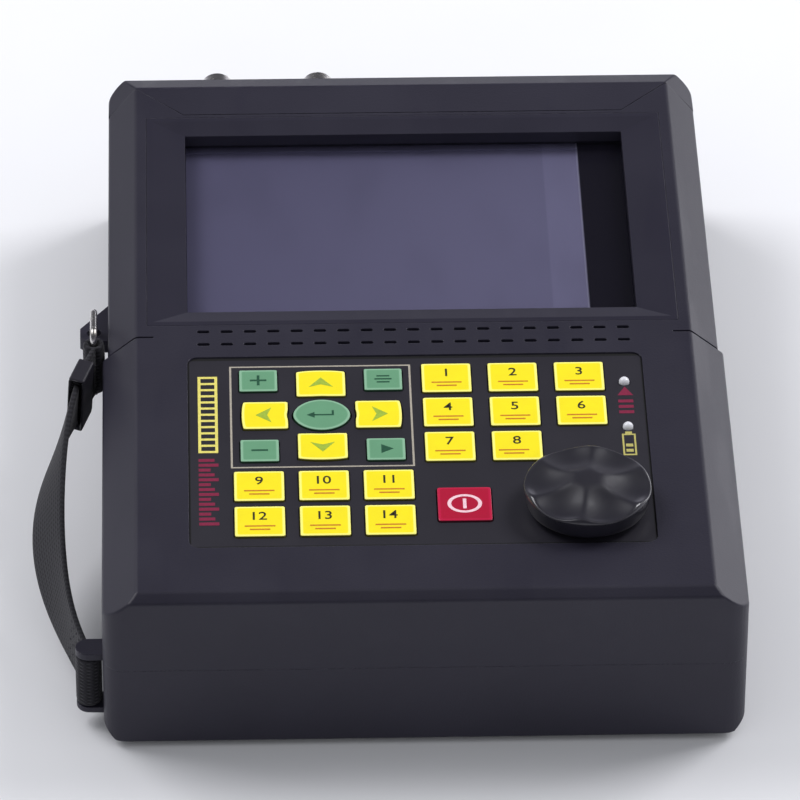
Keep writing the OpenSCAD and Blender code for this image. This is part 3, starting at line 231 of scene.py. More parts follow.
soft_light("left_window", (-1.55, 0.95, 2.05), (0, 0.02, 0), (1.5, 1.3), 37, (0.96, 0.96, 1.0))
soft_light("right_window", (1.60, 0.85, 1.85), (0, 0.02, 0), (1.0, 1.0), 30, (0.96, 0.96, 1.0))
soft_light("side_light", (1.25, 1.05, 0.34), (0.05, 0, 0.04), (0.7, 0.9), 5.5, (0.97, 0.96, 1.0))


# Housing: front shell, rear shell and top cap, injection moulded in black filled plastic with a fine sparked
# texture. The shells meet on a seal at half height and are screwed together from behind. Years of handling
# have polished the edges a little.
def satin_black(name, colour, roughness, size=0.55, depth=0.05, handled=0.5, radius=0.35):
    """Textured moulding: a sparked grain, slow clouds in its gloss, wipe marks and lighter edges."""
    finish = Finish(name, {"Base Color": colour, "Roughness": roughness, "Specular IOR Level": 0.30})
    grain = finish.grain(size, 3.0)
    cloud = finish.grain(34, 3.0)
    wipe = finish.ease(finish.grain(9, 4.0, stretch=(1.0, 0.16, 1.0)), 0.52, 0.70)
    edge, rounded = finish.worn(radius)
    scuff = finish.ease(finish.grain(3.2, 4.0), 0.40, 0.62)
    polish = edge * scuff * handled
    pale = tuple(min(1.0, 2.2 * c + 0.03) for c in colour)
    dusty = tuple(1.35 * c + 0.004 for c in colour)
    base = finish.blend(cloud, colour, dusty)
    finish.feed({"Base Color": finish.blend(polish, base, pale),
                 "Roughness": cloud * 0.10 + grain * 0.06 + (roughness - 0.08) - wipe * 0.05 - edge * 0.16})
    finish.relief(grain, depth, rounded)
    return finish


def merged(node):
    """A CAD node's loose triangles joined at their corners, with flat faces made whole."""
    shape = bmesh.new()
    shape.from_mesh(nodes[node].data)
    bmesh.ops.remove_doubles(shape, verts=shape.verts, dist=2e-6)
    bmesh.ops.dissolve_limit(shape, angle_limit=math.radians(0.3), use_dissolve_boundaries=False,
                             verts=shape.verts, edges=shape.edges)
    return shape


def settle(piece, finish, body, crease):
    """Gives a piece its finish, shading and body: smooth where faces meet at less than the crease angle."""
    mesh = piece.data
    mesh.materials.clear()
    for one in finish if isinstance(finish, list) else [finish]:
        mesh.materials.append(one.material)
    mesh.polygons.foreach_set("use_smooth", np.ones(len(mesh.polygons), bool))
    mesh.set_sharp_from_angle(angle=math.radians(crease))
    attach(piece, body)


def rounded_over(shape, width, picked):
    """Rounds the outward edges whose two ends, in drawing millimetres, the picking rule accepts."""
    edges = []
    for edge in shape.edges:
        if edge.is_manifold and edge.calc_face_angle_signed() > math.radians(15):
            ends = (np.array([corner.co for corner in edge.verts]) - housing_middle) * 1000
            if picked(ends):
                edges.append(edge)
    bmesh.ops.bevel(shape, geom=edges, offset=width * 0.001, offset_type="OFFSET", segments=3, profile=0.5,
                    affect="EDGES", clamp_overlap=False, loop_slide=True, material=-1)


def moulded(node, finish, body="housing", crease=28, width=0.0, picked=None):
    """The node's own form as one smooth-shaded skin, its picked edges rounded over, shown in its place."""
    shape = merged(node)
    if picked:
        rounded_over(shape, width, picked)
    mesh = bpy.data.meshes.new(node + "_skin")
    shape.to_mesh(mesh)
    shape.free()
    piece = added(node + "_skin", mesh)
    settle(piece, finish, body, crease)
    normals = piece.modifiers.new("flat_faces", "WEIGHTED_NORMAL")
    normals.keep_sharp = True
    normals.weight = 100
    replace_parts(piece, node)


def dress(finish, *names):
    """Gives nodes whose own mesh is shown their finish."""
    for name in names:
        mesh = nodes[name].data
        mesh.materials.clear()
        mesh.materials.append(finish.material)


housing_black = satin_black("housing_black", (0.0168, 0.0155, 0.0262), 0.44)


face_z, shoulder_z, cap_shoulder_z, low_edge_z = 52.0, 44.0, 45.3, 5.0
flat_half, screen_half, low_half, corner_r, front_bevel = 78.5, 86.5, 85.0, 6.0, 3.0
groove_low_y, groove_high_y, cap_seam_y, cap_ridge_y, body_l = 118.43, 119.13, 236.5, 242.6, 251.1
near = 0.1


def front_outside(ends):
    """The edges round the face, along the shoulders and round the front corners, but none at the seams."""
    x, y, z = np.abs(ends[:, 0]), ends[:, 1], ends[:, 2]
    round_face = (z > face_z - near) & ((x > flat_half - near) | (y < front_bevel + near))
    corner = (y < corner_r + near) & (x > screen_half - corner_r + 3 * near)
    low_shoulder = (x > screen_half - near) | corner | (y < near)
    at_groove = np.all((y > groove_low_y - near) & (y < groove_high_y + 2 * near))
    at_seam = np.all(y > cap_seam_y) or at_groove
    return bool(np.all((z > shoulder_z - near) & (round_face | low_shoulder)) and not at_seam)


def cap_outside(ends):
    """The cap's ridge, its end wall's upper edge and the ends of its shoulders."""
    y, z = ends[:, 1], ends[:, 2]
    behind = y > cap_ridge_y - near
    at_ridge = np.all(y < cap_ridge_y + near)
    return bool(np.all((z > cap_shoulder_z - near) & behind) and not at_ridge
                or np.all((z > face_z - near) & behind))


def rear_outside(ends):
    """The lower edge all round the rear shell."""
    x, y, z = np.abs(ends[:, 0]), ends[:, 1], ends[:, 2]
    front = (y < 9 * near) | (y < corner_r + near) & (x > screen_half - 4.6)
    back = (y > body_l - 2.1) | (y > body_l - corner_r - near) & (x > screen_half - corner_r - near)
    side = x > low_half - near
    return bool(np.all(z < low_edge_z + near) and (np.all(side) or np.all(front) or np.all(back)))


moulded("front_shell", housing_black, width=0.7, picked=front_outside)
moulded("top_cap", housing_black, width=0.7, picked=cap_outside)
moulded("rear_shell", housing_black, width=0.6, picked=rear_outside)


# Screen: a dark display cell in its metal frame, behind a clear acrylic window that is cemented under a
# sloping plastic surround. The cell's picture area is off; its grey violet is a painted reflection of a pale
# sheet above the screen, lighter towards the right-hand front corner and a little lighter in a strip on its
# right, with a pale line at its right edge. The picture area ends short of the window's right edge.
picture_left, strip_left, picture_right = -64.0, 40.8, 51.2
surround_black = satin_black("surround_black", (0.0163, 0.0150, 0.0254), 0.36, size=0.5, depth=0.02,
                             handled=0.35)
moulded("screen_surround", surround_black, crease=9)

window_clear = Finish("window_clear", {"Base Color": (0.012, 0.011, 0.018), "Roughness": 0.03, "Alpha": 0.20,
                                       "Specular IOR Level": 0.5, "Coat Weight": 0.2, "Coat Roughness": 0.03})
smear = window_clear.grain(16, 4.0, stretch=(1.0, 0.4, 1.0))
window_clear.feed({"Roughness": window_clear.ease(smear, 0.45, 0.75, 0.02, 0.08),
                   "Alpha": window_clear.ease(smear, 0.45, 0.80, 0.19, 0.22)})
dress(window_clear, "screen_window")

display_dark = Finish("display_dark", {"Base Color": (0.02, 0.02, 0.024), "Roughness": 0.32,
                                       "Specular IOR Level": 0.25})
middle_x, middle_y, _ = (housing_middle * 1000).tolist()
x, y, _ = display_dark.axes(display_dark.where())
x, y = x - middle_x, y - middle_y
inside = display_dark.ease(x, picture_left, picture_left + 0.3)
inside = inside * display_dark.ease(x, picture_right + 0.15, picture_right - 0.15)
cells = display_dark.node("ShaderNodeTexChecker", None, {"Vector": display_dark.where(), "Color1": (1, 1, 1),
                                                        "Color2": (0, 0, 0), "Scale": 2.8}, out=1)
# Painted reflection of a pale sheet over the picture area, lighter towards the right-hand front corner
reflection_fall = display_dark.ease(x - y * 0.5, -150.0, -40.0)
lit = display_dark.blend(reflection_fall, (0.168, 0.159, 0.276), (0.212, 0.201, 0.340))
lit = display_dark.blend(cells * 0.12, lit, (0.07, 0.07, 0.11))
side_strip = display_dark.ease(x, strip_left - 0.3, strip_left + 0.3)
lit = display_dark.blend(side_strip * 0.5, lit, (0.27, 0.258, 0.425))
edge_line = display_dark.ease(x, picture_right - 0.55, picture_right - 0.40)
lit = display_dark.blend(edge_line * 0.6, lit, (0.52, 0.50, 0.68))
display_dark.feed({"Base Color": display_dark.blend(inside, (0.0065, 0.0058, 0.0115), lit),
                   "Roughness": display_dark.ease(inside, 0.0, 1.0, 0.25, 0.36)})
dress(display_dark, "display_module")


# Keypad panel: a matt printed film on a thin backing, with a window for every key, darkened along its edges
# by painted shade where it meets its recess, widest at the top. A pale line is printed round the arrow keys,
# and plain marks stand beside the lamps and along the left edge.
panel_film = Finish("panel_film", {"Base Color": (0.020, 0.019, 0.023), "Roughness": 0.55,
                                   "Specular IOR Level": 0.4})
fine = panel_film.grain(0.30, 2.0)
slow = panel_film.grain(22, 3.0)
film = panel_film.blend(slow, (0.0118, 0.0106, 0.0172), (0.0172, 0.0155, 0.0240))
x, y, _ = panel_film.axes(panel_film.where())
film_low, film_high = [corner * 1000 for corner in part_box("keypad_overlay")]
# The dark border round the film's edges is painted shade; these are its widths on each side and its soft fall
side_shade, low_shade, top_shade, shade_soft = 0.6, 1.0, 1.3, 0.3
rim = panel_film.ease(x, film_low.x + side_shade, film_low.x + side_shade - shade_soft)
for value, start, end in ((x, film_high.x - side_shade, film_high.x - side_shade + shade_soft),
                          (y, film_low.y + low_shade, film_low.y + low_shade - shade_soft),
                          (y, film_high.y - top_shade, film_high.y - top_shade + shade_soft)):
    rim = rim.math("MAXIMUM", panel_film.ease(value, start, end))
panel_film.feed({"Base Color": panel_film.blend(rim, film, (0.0025, 0.0025, 0.003)),
                 "Roughness": slow * 0.12 + fine * 0.06 + rim * 0.25 + 0.42})
panel_film.relief(fine, 0.012)
moulded("keypad_overlay", panel_film)


def ink(name, colour, roughness=0.5):
    """Printed ink: a flat colour, a little uneven where the film's texture shows through."""
    finish = Finish(name, {"Base Color": colour, "Roughness": roughness, "Specular IOR Level": 0.3})
    speck = finish.ease(finish.grain(0.5, 3.0), 0.30, 0.75)
    thin = tuple(0.80 * c for c in colour)
    finish.feed({"Base Color": finish.blend(speck, colour, thin)})
    finish.relief(speck, 0.006)
    return finish


def walls(levels, count, closed=False):
    """Faces between neighbouring rings of equal count, and from the last ring to the first where closed."""
    row = np.arange(levels if closed else levels - 1)[:, None] * count
    over = (row + count) % (levels * count)
    here, following = np.arange(count)[None], (np.arange(count)[None] + 1) % count
    quads = np.stack([row + here, row + following, over + following, over + here], -1)
    return quads.reshape(-1, 4).tolist()


def lids(levels, count):
    """The first ring as a face turned down and the last as one turned up."""
    return [list(range(count))[::-1], list(range((levels - 1) * count, levels * count))]


def prism(plan, low, high):
    """A closed solid over a plan outline: its points at the low and the high level, two lids and walls."""
    count = len(plan)
    points = np.concatenate([np.column_stack([plan, np.full(count, z)]) for z in (low, high)])
    return points, lids(2, count) + walls(2, count)


def bar(centre, size):
    """Corners of a straight bar in plan."""
    return np.array([(-1, -1), (1, -1), (1, 1), (-1, 1)]) * np.asarray(size, float) / 2 + centre


def joined(parts):
    """Several closed solids as one list of points and one of faces, and which part each face is from."""
    points, faces, owner, start = [], [], [], 0
    for k, (part_points, part_faces) in enumerate(parts):
        points.append(part_points)
        faces += [[i + start for i in face] for face in part_faces]
        owner += [k] * len(part_faces)
        start += len(part_points)
    return np.concatenate(points), faces, np.array(owner)


def piece(name, points, faces, finish, slot, body="housing", crease=28, face_finish=None):
    """A new mesh from points in drawing millimetres, dressed and hung on its body."""
    mesh = bpy.data.meshes.new(name)
    mesh.from_pydata(place(points).tolist(), [], faces)
    made = added(name, mesh)
    settle(made, finish, body, crease)
    if face_finish is not None:
        mesh.polygons.foreach_set("material_index", np.asarray(face_finish, np.int32))
    return made


def printed(name, plans, finish, levels, body="housing"):
    """Marks of one ink: closed plates from just under the surface to just over it."""
    piece(name, *joined([prism(plan, *levels) for plan in plans])[:2], finish, "panel_film", body)


panel_top = 51.6
on_panel = (panel_top - 0.2, panel_top + 0.035)
pale_ink = ink("pale_ink", (0.42, 0.38, 0.31))
yellow_ink = ink("yellow_ink", (0.80, 0.71, 0.16))
dark_red_ink = ink("dark_red_ink", (0.23, 0.012, 0.050))
dull_yellow_ink = ink("dull_yellow_ink", (0.50, 0.45, 0.13))

frame_low, frame_high, frame_line = np.array([-52.0, 58.3]), np.array([-1.65, 104.6]), 0.55
frame_middle, frame_size = (frame_low + frame_high) / 2, frame_high - frame_low
sides = []
for way in (-1, 1):
    sides.append(bar(frame_middle + (0, way * frame_size[1] / 2), (frame_size[0] + frame_line, frame_line)))
    sides.append(bar(frame_middle + (way * frame_size[0] / 2, 0), (frame_line, frame_size[1] - frame_line)))
printed("arrow_frame_print", sides, pale_ink, on_panel)

# Left edge: a yellow graduated ladder over a red row of bars that die away and come back
label_left, label_right, rail, rung_y, rung_pitch = -61.2, -55.7, 0.8, 65.6, 2.85
ladder = [bar((x, 82.7), (rail, 35.2)) for x in (label_left + rail / 2, label_right - rail / 2)]
ladder += [bar(((label_left + label_right) / 2, rung_y + rung_pitch * k), (3.9, 0.95)) for k in range(13)]
printed("ladder_print", ladder, yellow_ink, on_panel)
reaches = [5.5 - 1.1 * (k % 3) for k in range(14)]
trace = [bar((label_left + reach / 2, 33.2 + 2.2 * k), (reach, 1.35)) for k, reach in enumerate(reaches)]
printed("trace_print", trace, dark_red_ink, on_panel)

# Beside the lamps: a triangle over three bars in dark red, and the outline of a cell in dull yellow
lamp_x, triangle_y, cell_y = 58.45, 91.2, 66.6
upper_marks = [np.array([(-2.2, -1.9), (2.2, -1.9), (0, 2.1)]) + (lamp_x, triangle_y)]
upper_marks += [bar((lamp_x, triangle_y - 4.6 - 2.5 * k), (4.2, 1.35)) for k in range(3)]
printed("triangle_print", upper_marks, dark_red_ink, on_panel)
cell_marks = [bar((lamp_x, cell_y + rise), size) for rise, size in
              ((-4.6, (3.8, 0.6)), (4.6, (3.8, 0.6)), (5.4, (1.9, 1.0)),
               (-2.7, (2.0, 1.3)), (-0.3, (2.0, 1.3)))]
cell_marks += [bar((lamp_x + side * 1.65, cell_y), (0.5, 8.6)) for side in (-1, 1)]
printed("cell_print", cell_marks, dull_yellow_ink, on_panel)


# Keys: embossed polycarbonate caps over snap domes, screened in yellow, green and red. The emboss leaves a
# pale rim round each cap, and painted shade darkens each cap's wall round its foot. Each cap is one closed
# skin:
# its outline in plan, carried from the flange under the panel, up the wall and over a rounded edge to the
# middle.
key_top, key_rim = 52.2, 0.38
flange_low, flange_high, flange_over, stem_low, stem_r = 48.1, 48.9, 0.5, 47.28, 2.0
turns = np.linspace(0, 2 * math.pi, 128, endpoint=False)
rays = np.column_stack([np.cos(turns), np.sin(turns)])


def straight_reach(normal, distance):
    """How far each ray runs to a straight edge: distance over its share along the normal."""
    share = rays @ np.asarray(normal, float)
    return np.where(share > 1e-3, distance / np.maximum(share, 1e-3), 1e3)


def circle_reach(middle, radius):
    """Where each ray enters and leaves a circle: the two roots of its distance to the middle."""
    middle = np.asarray(middle, float)
    along = rays @ middle
    rest = radius ** 2 - middle @ middle + along ** 2
    root = np.sqrt(np.maximum(rest, 0))
    met = rest > 0
    return np.where(met, along - root, 1e3), np.where(met, along + root, 1e3)


def outline(straight, within, outside, grow, soft):
    """The reach of each ray: the nearest edge, blended by a power mean so that corners come out rounded."""
    reaches = [straight_reach(normal, distance + grow) for normal, distance in straight]
    reaches += [circle_reach(middle, radius + grow)[1] for middle, radius in within]
    for group in outside:
        crossings = [circle_reach(middle, radius - grow) for middle, radius in group]
        enter = np.max([c[0] for c in crossings], axis=0)
        leave = np.min([c[1] for c in crossings], axis=0)
        reaches.append(np.where((enter > 0) & (enter < leave), enter, 1e3))
    return np.sum(np.array(reaches) ** -soft, axis=0) ** (-1 / soft)


def ring(directions, reach, middle, z):
    """Points at a distance from a middle along each direction in plan, at a height."""
    spots = directions * np.reshape(reach, (-1, 1)) + middle
    return np.column_stack([spots, np.broadcast_to(z, len(spots))])


def skin(rings):
    """A closed skin over rings of equal count, from the lowest middle out, up and in to the top: walls
    between neighbours and a fan of triangles over each end."""
    rings = np.asarray(rings, float)
    levels, count = rings.shape[:2]
    points = np.concatenate([rings.reshape(-1, 3), rings[0].mean(0)[None], rings[-1].mean(0)[None]])
    here, following = np.arange(count), (np.arange(count) + 1) % count
    low_fan = np.column_stack([following, here, np.full(count, levels * count)])
    top = (levels - 1) * count
    high_fan = np.column_stack([top + here, top + following, np.full(count, levels * count + 1)])
    return points, walls(levels, count) + low_fan.tolist() + high_fan.tolist()


def cap(name, middle, finish, slot, straight, within=(), outside=(), soft=30):
    """A key's cap, flange and stem about its middle. Each point keeps its depth inside the outline."""
    def level(grow, z, share=1.0):
        return ring(rays, outline(straight, within, outside, grow, soft) * share, middle, z)

    crown, deepest, inner = 0.05, 4.0, 1.5
    shoulder = key_top - crown
    rings = [level(0, stem_low, 0.02), ring(rays, stem_r, middle, stem_low),
             ring(rays, stem_r, middle, flange_low), level(flange_over, flange_low),
             level(flange_over, flange_high), level(0, flange_high), level(0, shoulder - key_rim)]
    depths = [0] * len(rings)
    for angle in (22.5, 45, 67.5, 90):
        turn = math.radians(angle)
        depths.append(key_rim * (1 - math.cos(turn)))
        rings.append(level(-depths[-1], shoulder - key_rim * (1 - math.sin(turn))))
    for inset in (0.55, 0.8, 1.05, inner):
        depths.append(inset)
        rings.append(level(-inset, shoulder + crown * inset / 3))
    for share, rise in ((0.66, 0.8), (0.33, 0.95)):
        depths.append(deepest)
        rings.append(level(-inner, shoulder + crown * rise, share))
    made = piece(name + "_cap", *skin(rings), finish, slot, name, crease=40)
    inset = made.data.attributes.new("inset", "FLOAT", "POINT")
    inset.data.foreach_set("value", np.repeat(depths, len(rays)).tolist() + [0.0, deepest])
    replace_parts(made, name)


def key_ink(name, face_colour, rim_colour, foot_shade):
    """Screened key: the face colour, a pale line inside the rounded rim and painted shade on the wall at its
    foot.
    """
    finish = Finish(name, {"Base Color": face_colour, "Roughness": 0.36, "Specular IOR Level": 0.33})
    depth = finish.node("ShaderNodeAttribute", {"attribute_name": "inset"}, out="Fac")
    cloud = finish.grain(6.5, 3.0)
    rub = finish.ease(finish.grain(2.4, 4.0), 0.55, 0.75)
    duller = tuple(0.88 * c for c in face_colour)
    face = finish.blend(cloud, face_colour, duller)
    rim = finish.blend(finish.ease(depth, 0.62, 1.02), rim_colour, face)
    # Below the rim, the wall round the cap's foot takes painted shade
    finish.feed({"Base Color": finish.blend(finish.ease(depth, 0.05, 0.20), foot_shade, rim),
                 "Roughness": cloud * 0.10 + rub * 0.08 + 0.30})
    finish.relief(finish.grain(0.25, 2.0), 0.008)
    return finish


# The last colour of each key ink is painted shade for the wall at the cap's foot
key_yellow = key_ink("key_yellow", (0.97, 0.81, 0.010), (0.99, 0.92, 0.20), (0.085, 0.075, 0.006))
key_green = key_ink("key_green", (0.140, 0.335, 0.190), (0.24, 0.45, 0.29), (0.012, 0.045, 0.022))
key_red = key_ink("key_red", (0.44, 0.003, 0.034), (0.50, 0.006, 0.050), (0.05, 0.002, 0.008))
dark_ink = ink("dark_ink", (0.035, 0.030, 0.012))
rust_ink = ink("rust_ink", (0.62, 0.20, 0.015))
arrow_ink = ink("arrow_ink", (0.36, 0.50, 0.045))
forest_ink = ink("forest_ink", (0.015, 0.090, 0.045))
rose_ink = ink("rose_ink", (0.92, 0.62, 0.68))
on_key = (key_top - 0.15, key_top + 0.03)


def box_edges(width, length):
    """The four straight edges of a rectangle about its middle."""
    return [((1, 0), width / 2), ((-1, 0), width / 2), ((0, 1), length / 2), ((0, -1), length / 2)]


def numeral(number, size, middle):
    """Digits on a key as one closed solid, centred on a point."""
    words = bpy.data.curves.new("digits", "FONT")
    words.body = str(number)
    words.size = size
    words.extrude = (on_key[1] - on_key[0]) / 2
    words.resolution_u = 3
    words.offset = 0.008 * size
    drawn = added("digits", words)
    bpy.context.view_layer.update()
    mesh = bpy.data.meshes.new_from_object(drawn.evaluated_get(bpy.context.evaluated_depsgraph_get()))
    points = np.array([corner.co for corner in mesh.vertices], float)
    faces = [list(face.vertices) for face in mesh.polygons]
    bpy.data.objects.remove(drawn)
    bpy.data.curves.remove(words)
    bpy.data.meshes.remove(mesh)
    points -= (points.min(0) + points.max(0)) / 2
    return points + (*middle, sum(on_key) / 2), faces


knob_middle, knob_space_r, row_pitch = np.array([45.3188, 39.1]), 21.0, 15.8
cells = [(0, 0), (1, 0), (2, 0), (0, 1), (1, 1), (2, 1), (0, 2), (1, 2)]
places = [(8.6 + 18.65 * c, 97.9 - row_pitch * r) for c, r in cells]
places += [(-44.6 + 17.9 * c, 49.3 - row_pitch * r) for r in (0, 1) for c in (0, 1, 2)]
for number, middle in enumerate(places, 1):
    middle = np.array(middle)
    name = f"function_key_{number}"
    beside_knob = number == 8
    round_knob = [[(knob_middle - middle, knob_space_r)]] if beside_knob else []
    cap(name, middle, key_yellow, "key_yellow", box_edges(14, 13.4), outside=round_knob, soft=34)
    aside = (-1.0 if beside_knob else 0.0, 0.0)
    rules = [prism(bar(middle + aside + (0.0, -fall), (width, 0.55)), *on_key)
             for fall, width in ((2.2, 8.4), (3.7, 5.6))]
    points, faces, owner = joined([numeral(number, 5.0, middle + (0.0, 2.3))] + rules)
    piece(name + "_mark", points, faces, [dark_ink, rust_ink], "panel_film", name, face_finish=owner > 0)

# Arrow keys round the oval key, each with a notched arrowhead, and the four corner keys with plain signs
pad_middle = np.array([-26.7, 81.5])


def oval_circles(gap):
    """Two large crossing circles and one round the tips, whose overlap is the oval grown by a gap."""
    a, b = 8.3 + gap, 7.05 + gap
    radius = (a * a + b * b) / (2 * b)
    return [((0, b - radius), radius), ((0, radius - b), radius), ((0, 0), 8.1755 + gap)]


def turned(point, degrees):
    """Plan points turned about the origin."""
    c, s = math.cos(math.radians(degrees)), math.sin(math.radians(degrees))
    return np.asarray(point, float) @ np.array([(c, s), (-s, c)])


arrowhead, bulge_r = np.array([(0, 2.5), (3.4, -1.9), (0, -0.7), (-3.4, -1.9)]), 30.58
upright, sideways = (13.9, 12.3, 14.6), (12.5, 13.2, 15.95)
for name, turn, (width, length, reach) in (("arrow_up", 0, upright), ("arrow_left", 90, sideways),
                                           ("arrow_down", 180, upright), ("arrow_right", 270, sideways)):
    offset = turned((0, reach), turn)
    edges = [(turned(normal, turn), distance) for normal, distance in box_edges(width, length)]
    round_ends = [(turned((0, length / 2 - bulge_r), turn), bulge_r)]
    cap(name, pad_middle + offset, key_yellow, "key_yellow", edges, within=round_ends,
        outside=[[(np.array(c) - offset, r) for c, r in oval_circles(1.4)]], soft=34)
    printed(name + "_mark", [turned(arrowhead, turn) + pad_middle + offset], arrow_ink, on_key, name)

cap("centre_key", pad_middle, key_green, "key_green", [], within=oval_circles(0), soft=40)
enter = [bar(pad_middle + (0.6, -0.2), (5.6, 0.6)), bar(pad_middle + (3.1, 0.95), (0.6, 1.7)),
         np.array([(-4.2, -0.2), (-2.0, -1.5), (-2.0, 1.1)]) + pad_middle]
printed("centre_key_mark", enter, forest_ink, on_key, "centre_key")

stroke_w, stub, stub_rise = 0.75, 1.93, 1.34
dash = bar((0, 0), (4.6, stroke_w))
signs = [[dash, bar((0, stub_rise), (stroke_w, stub)), bar((0, -stub_rise), (stroke_w, stub))],
         [bar((0, 1.4 * k), (4.8 - 1.2 * abs(k), 0.6)) for k in (-1, 0, 1)],
         [dash],
         [np.array([(-1.3, -2.0), (2.1, 0), (-1.3, 2.0)])]]
for number, (side, rise) in enumerate(((-1, 1), (1, 1), (-1, -1), (1, -1)), 1):
    name = f"corner_key_{number}"
    middle = pad_middle + (side * 17.51, rise * 16.1)
    cap(name, middle, key_green, "key_green", box_edges(10.8, 10))
    printed(name + "_mark", [sign + middle for sign in signs[number - 1]], forest_ink, on_key, name)

# Power key: red, with a pale ring round a short bar
power_middle, ring_inner, ring_outer, ring_squash = np.array([11.7167, 40.136]), 3.7, 4.75, (1.0, 0.86)
cap("power_key", power_middle, key_red, "key_red", box_edges(15, 15))
ring_points = np.concatenate([ring(rays * ring_squash, reach, power_middle, z) for reach, z in
                              ((ring_inner, on_key[0]), (ring_outer, on_key[0]),
                               (ring_outer, on_key[1]), (ring_inner, on_key[1]))])
stroke = prism(bar(power_middle, (0.95, 4.4)), *on_key)
power_mark = joined([(ring_points, walls(4, len(rays), closed=True)), stroke])[:2]
piece("power_key_mark", *power_mark, rose_ink, "panel_film", "power_key")


# Knob: a black moulding with a low crown and six thumb hollows, so that six ridges run from the middle to the
# rim, which fingers have polished. It is hollow underneath round the hub that grips the encoder's shaft.
knob_low, knob_high, knob_r, knob_foot_r, knob_edge = 53.5, 61.5, 17.5, 16.9, 1.8
knob_drop, knob_round, skirt_in_r, roof_z, hub_r, hub_low = 1.4, 0.3, 15.5, 56.7, 6.0, 55.0
crown_r = ((knob_r - knob_edge) ** 2 + knob_drop ** 2) / (2 * knob_drop)
hollow_r, hollow_out, hollow_deep, hollow_turn, ridge_soft = 16.0, 14.0, 3.2, 52.0, 2.2
knob_turns = np.linspace(0, 2 * math.pi, 240, endpoint=False)
knob_rays = np.column_stack([np.cos(knob_turns), np.sin(knob_turns)])


def knob_height(reach, outside):
    """Height of the knob's top at a distance out: the lowest of the uncut moulding's outside and six round
    hollows, with the ridges between them rounded by a soft minimum."""
    spots = knob_rays * reach
    heights = [np.full(len(spots), outside)]
    for k in range(6):
        turn = math.radians(hollow_turn + 60 * k)
        away = spots - hollow_out * np.array([math.cos(turn), math.sin(turn)])
        squared = np.minimum((away ** 2).sum(1), hollow_r ** 2 * 0.98)
        heights.append(knob_high - hollow_deep + hollow_r - np.sqrt(hollow_r ** 2 - squared))
    return knob_high - np.log(np.exp(-ridge_soft * (np.array(heights) - knob_high)).sum(0)) / ridge_soft


rings = [ring(knob_rays, reach, knob_middle, z) for reach, z in (
    (1.0, hub_low), (hub_r - knob_round, hub_low), (hub_r, hub_low + knob_round), (hub_r, roof_z),
    (skirt_in_r - 0.2, roof_z), (skirt_in_r, roof_z - knob_round), (skirt_in_r, knob_low + knob_round),
    (skirt_in_r + knob_round, knob_low), (knob_foot_r - knob_round, knob_low),
    (knob_foot_r, knob_low + knob_round))]
edge_low = knob_high - knob_drop - knob_edge
for share in (0.25, 0.5, 0.75, 0.97):
    rings.append(ring(knob_rays, knob_foot_r + (knob_r - knob_foot_r) * share, knob_middle,
                      knob_low + (edge_low - knob_low) * share))
for angle in np.linspace(0, 90, 13):
    turn = math.radians(angle)
    reach, uncut = knob_r - knob_edge * (1 - math.cos(turn)), edge_low + knob_edge * math.sin(turn)
    rings.append(ring(knob_rays, reach, knob_middle, knob_height(reach, uncut)))
for reach in np.linspace(knob_r - knob_edge, 0.3, 38)[1:]:
    uncut = knob_high - crown_r + math.sqrt(crown_r ** 2 - reach ** 2)
    rings.append(ring(knob_rays, reach, knob_middle, knob_height(reach, uncut)))
knob_black = Finish("knob_black", {"Base Color": (0.013, 0.0122, 0.019), "Roughness": 0.46,
                                   "Specular IOR Level": 0.40, "Coat Weight": 0.30, "Coat Roughness": 0.10})
axis_x, axis_y = (knob_middle + housing_middle[:2] * 1000).tolist()
x, y, _ = knob_black.axes(knob_black.where())
x, y = x - axis_x, y - axis_y
from_axis = (x * x + y * y).math("SQRT")
polish = knob_black.ease(from_axis, 14.2, 16.4)
smudge = knob_black.grain(5.5, 4.0)
hair = knob_black.ease(knob_black.grain(1.1, 4.0, stretch=(0.25, 1.6, 1.0)), 0.60, 0.72)
edge, rounded = knob_black.worn(0.5)
knob_black.feed({"Roughness": smudge * 0.14 + hair * 0.06 + 0.39 - polish * 0.08,
                 "Coat Weight": polish * 0.85 + 0.03,
                 "Base Color": knob_black.blend(edge * 0.4, (0.013, 0.0122, 0.019), (0.05, 0.048, 0.060))})
knob_black.relief(smudge, 0.012, rounded)
knob = piece("knob_moulding", *skin(rings), knob_black, "knob_plastic", "knob", crease=42)
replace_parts(knob, "knob")

brushed = Finish("brushed_nickel", {"Base Color": (0.62, 0.61, 0.59), "Metallic": 1.0, "Roughness": 0.24})
brush = brushed.grain(0.8, 3.0, stretch=(1.0, 1.0, 0.08))
tarnish = brushed.ease(brushed.grain(4.5, 4.0), 0.48, 0.75)
brushed.feed({"Base Color": brushed.blend(tarnish, (0.66, 0.65, 0.63), (0.44, 0.42, 0.38)),
              "Roughness": brush * 0.14 + tarnish * 0.14 + 0.16})
brushed.relief(brush, 0.01)
for node, body in (("encoder_nut", "housing"), ("encoder_shaft", "knob")):
    moulded(node, brushed, body)


# Lamps: two clouded clear lenses pressed through the panel, bright against the film
def clouded(name, fixed, cloud, first, second, rough, depth):
    """A finish whose colour, roughness and height all follow one cloudy grain."""
    finish, (lowest, spread) = Finish(name, fixed), rough
    grain = finish.grain(*cloud)
    finish.feed({"Base Color": finish.blend(grain, first, second), "Roughness": grain * spread + lowest})
    finish.relief(grain, depth)
    return finish


lens_clear = clouded("lens_clear", {"Base Color": (0.84, 0.84, 0.88), "Roughness": 0.16, "IOR": 1.49,
                                    "Transmission Weight": 0.10},
                     (1.2, 3.0), (0.78, 0.78, 0.83), (0.88, 0.88, 0.91), (0.10, 0.15), 0.01)
moulded("indicator_lamps", lens_clear, crease=35)


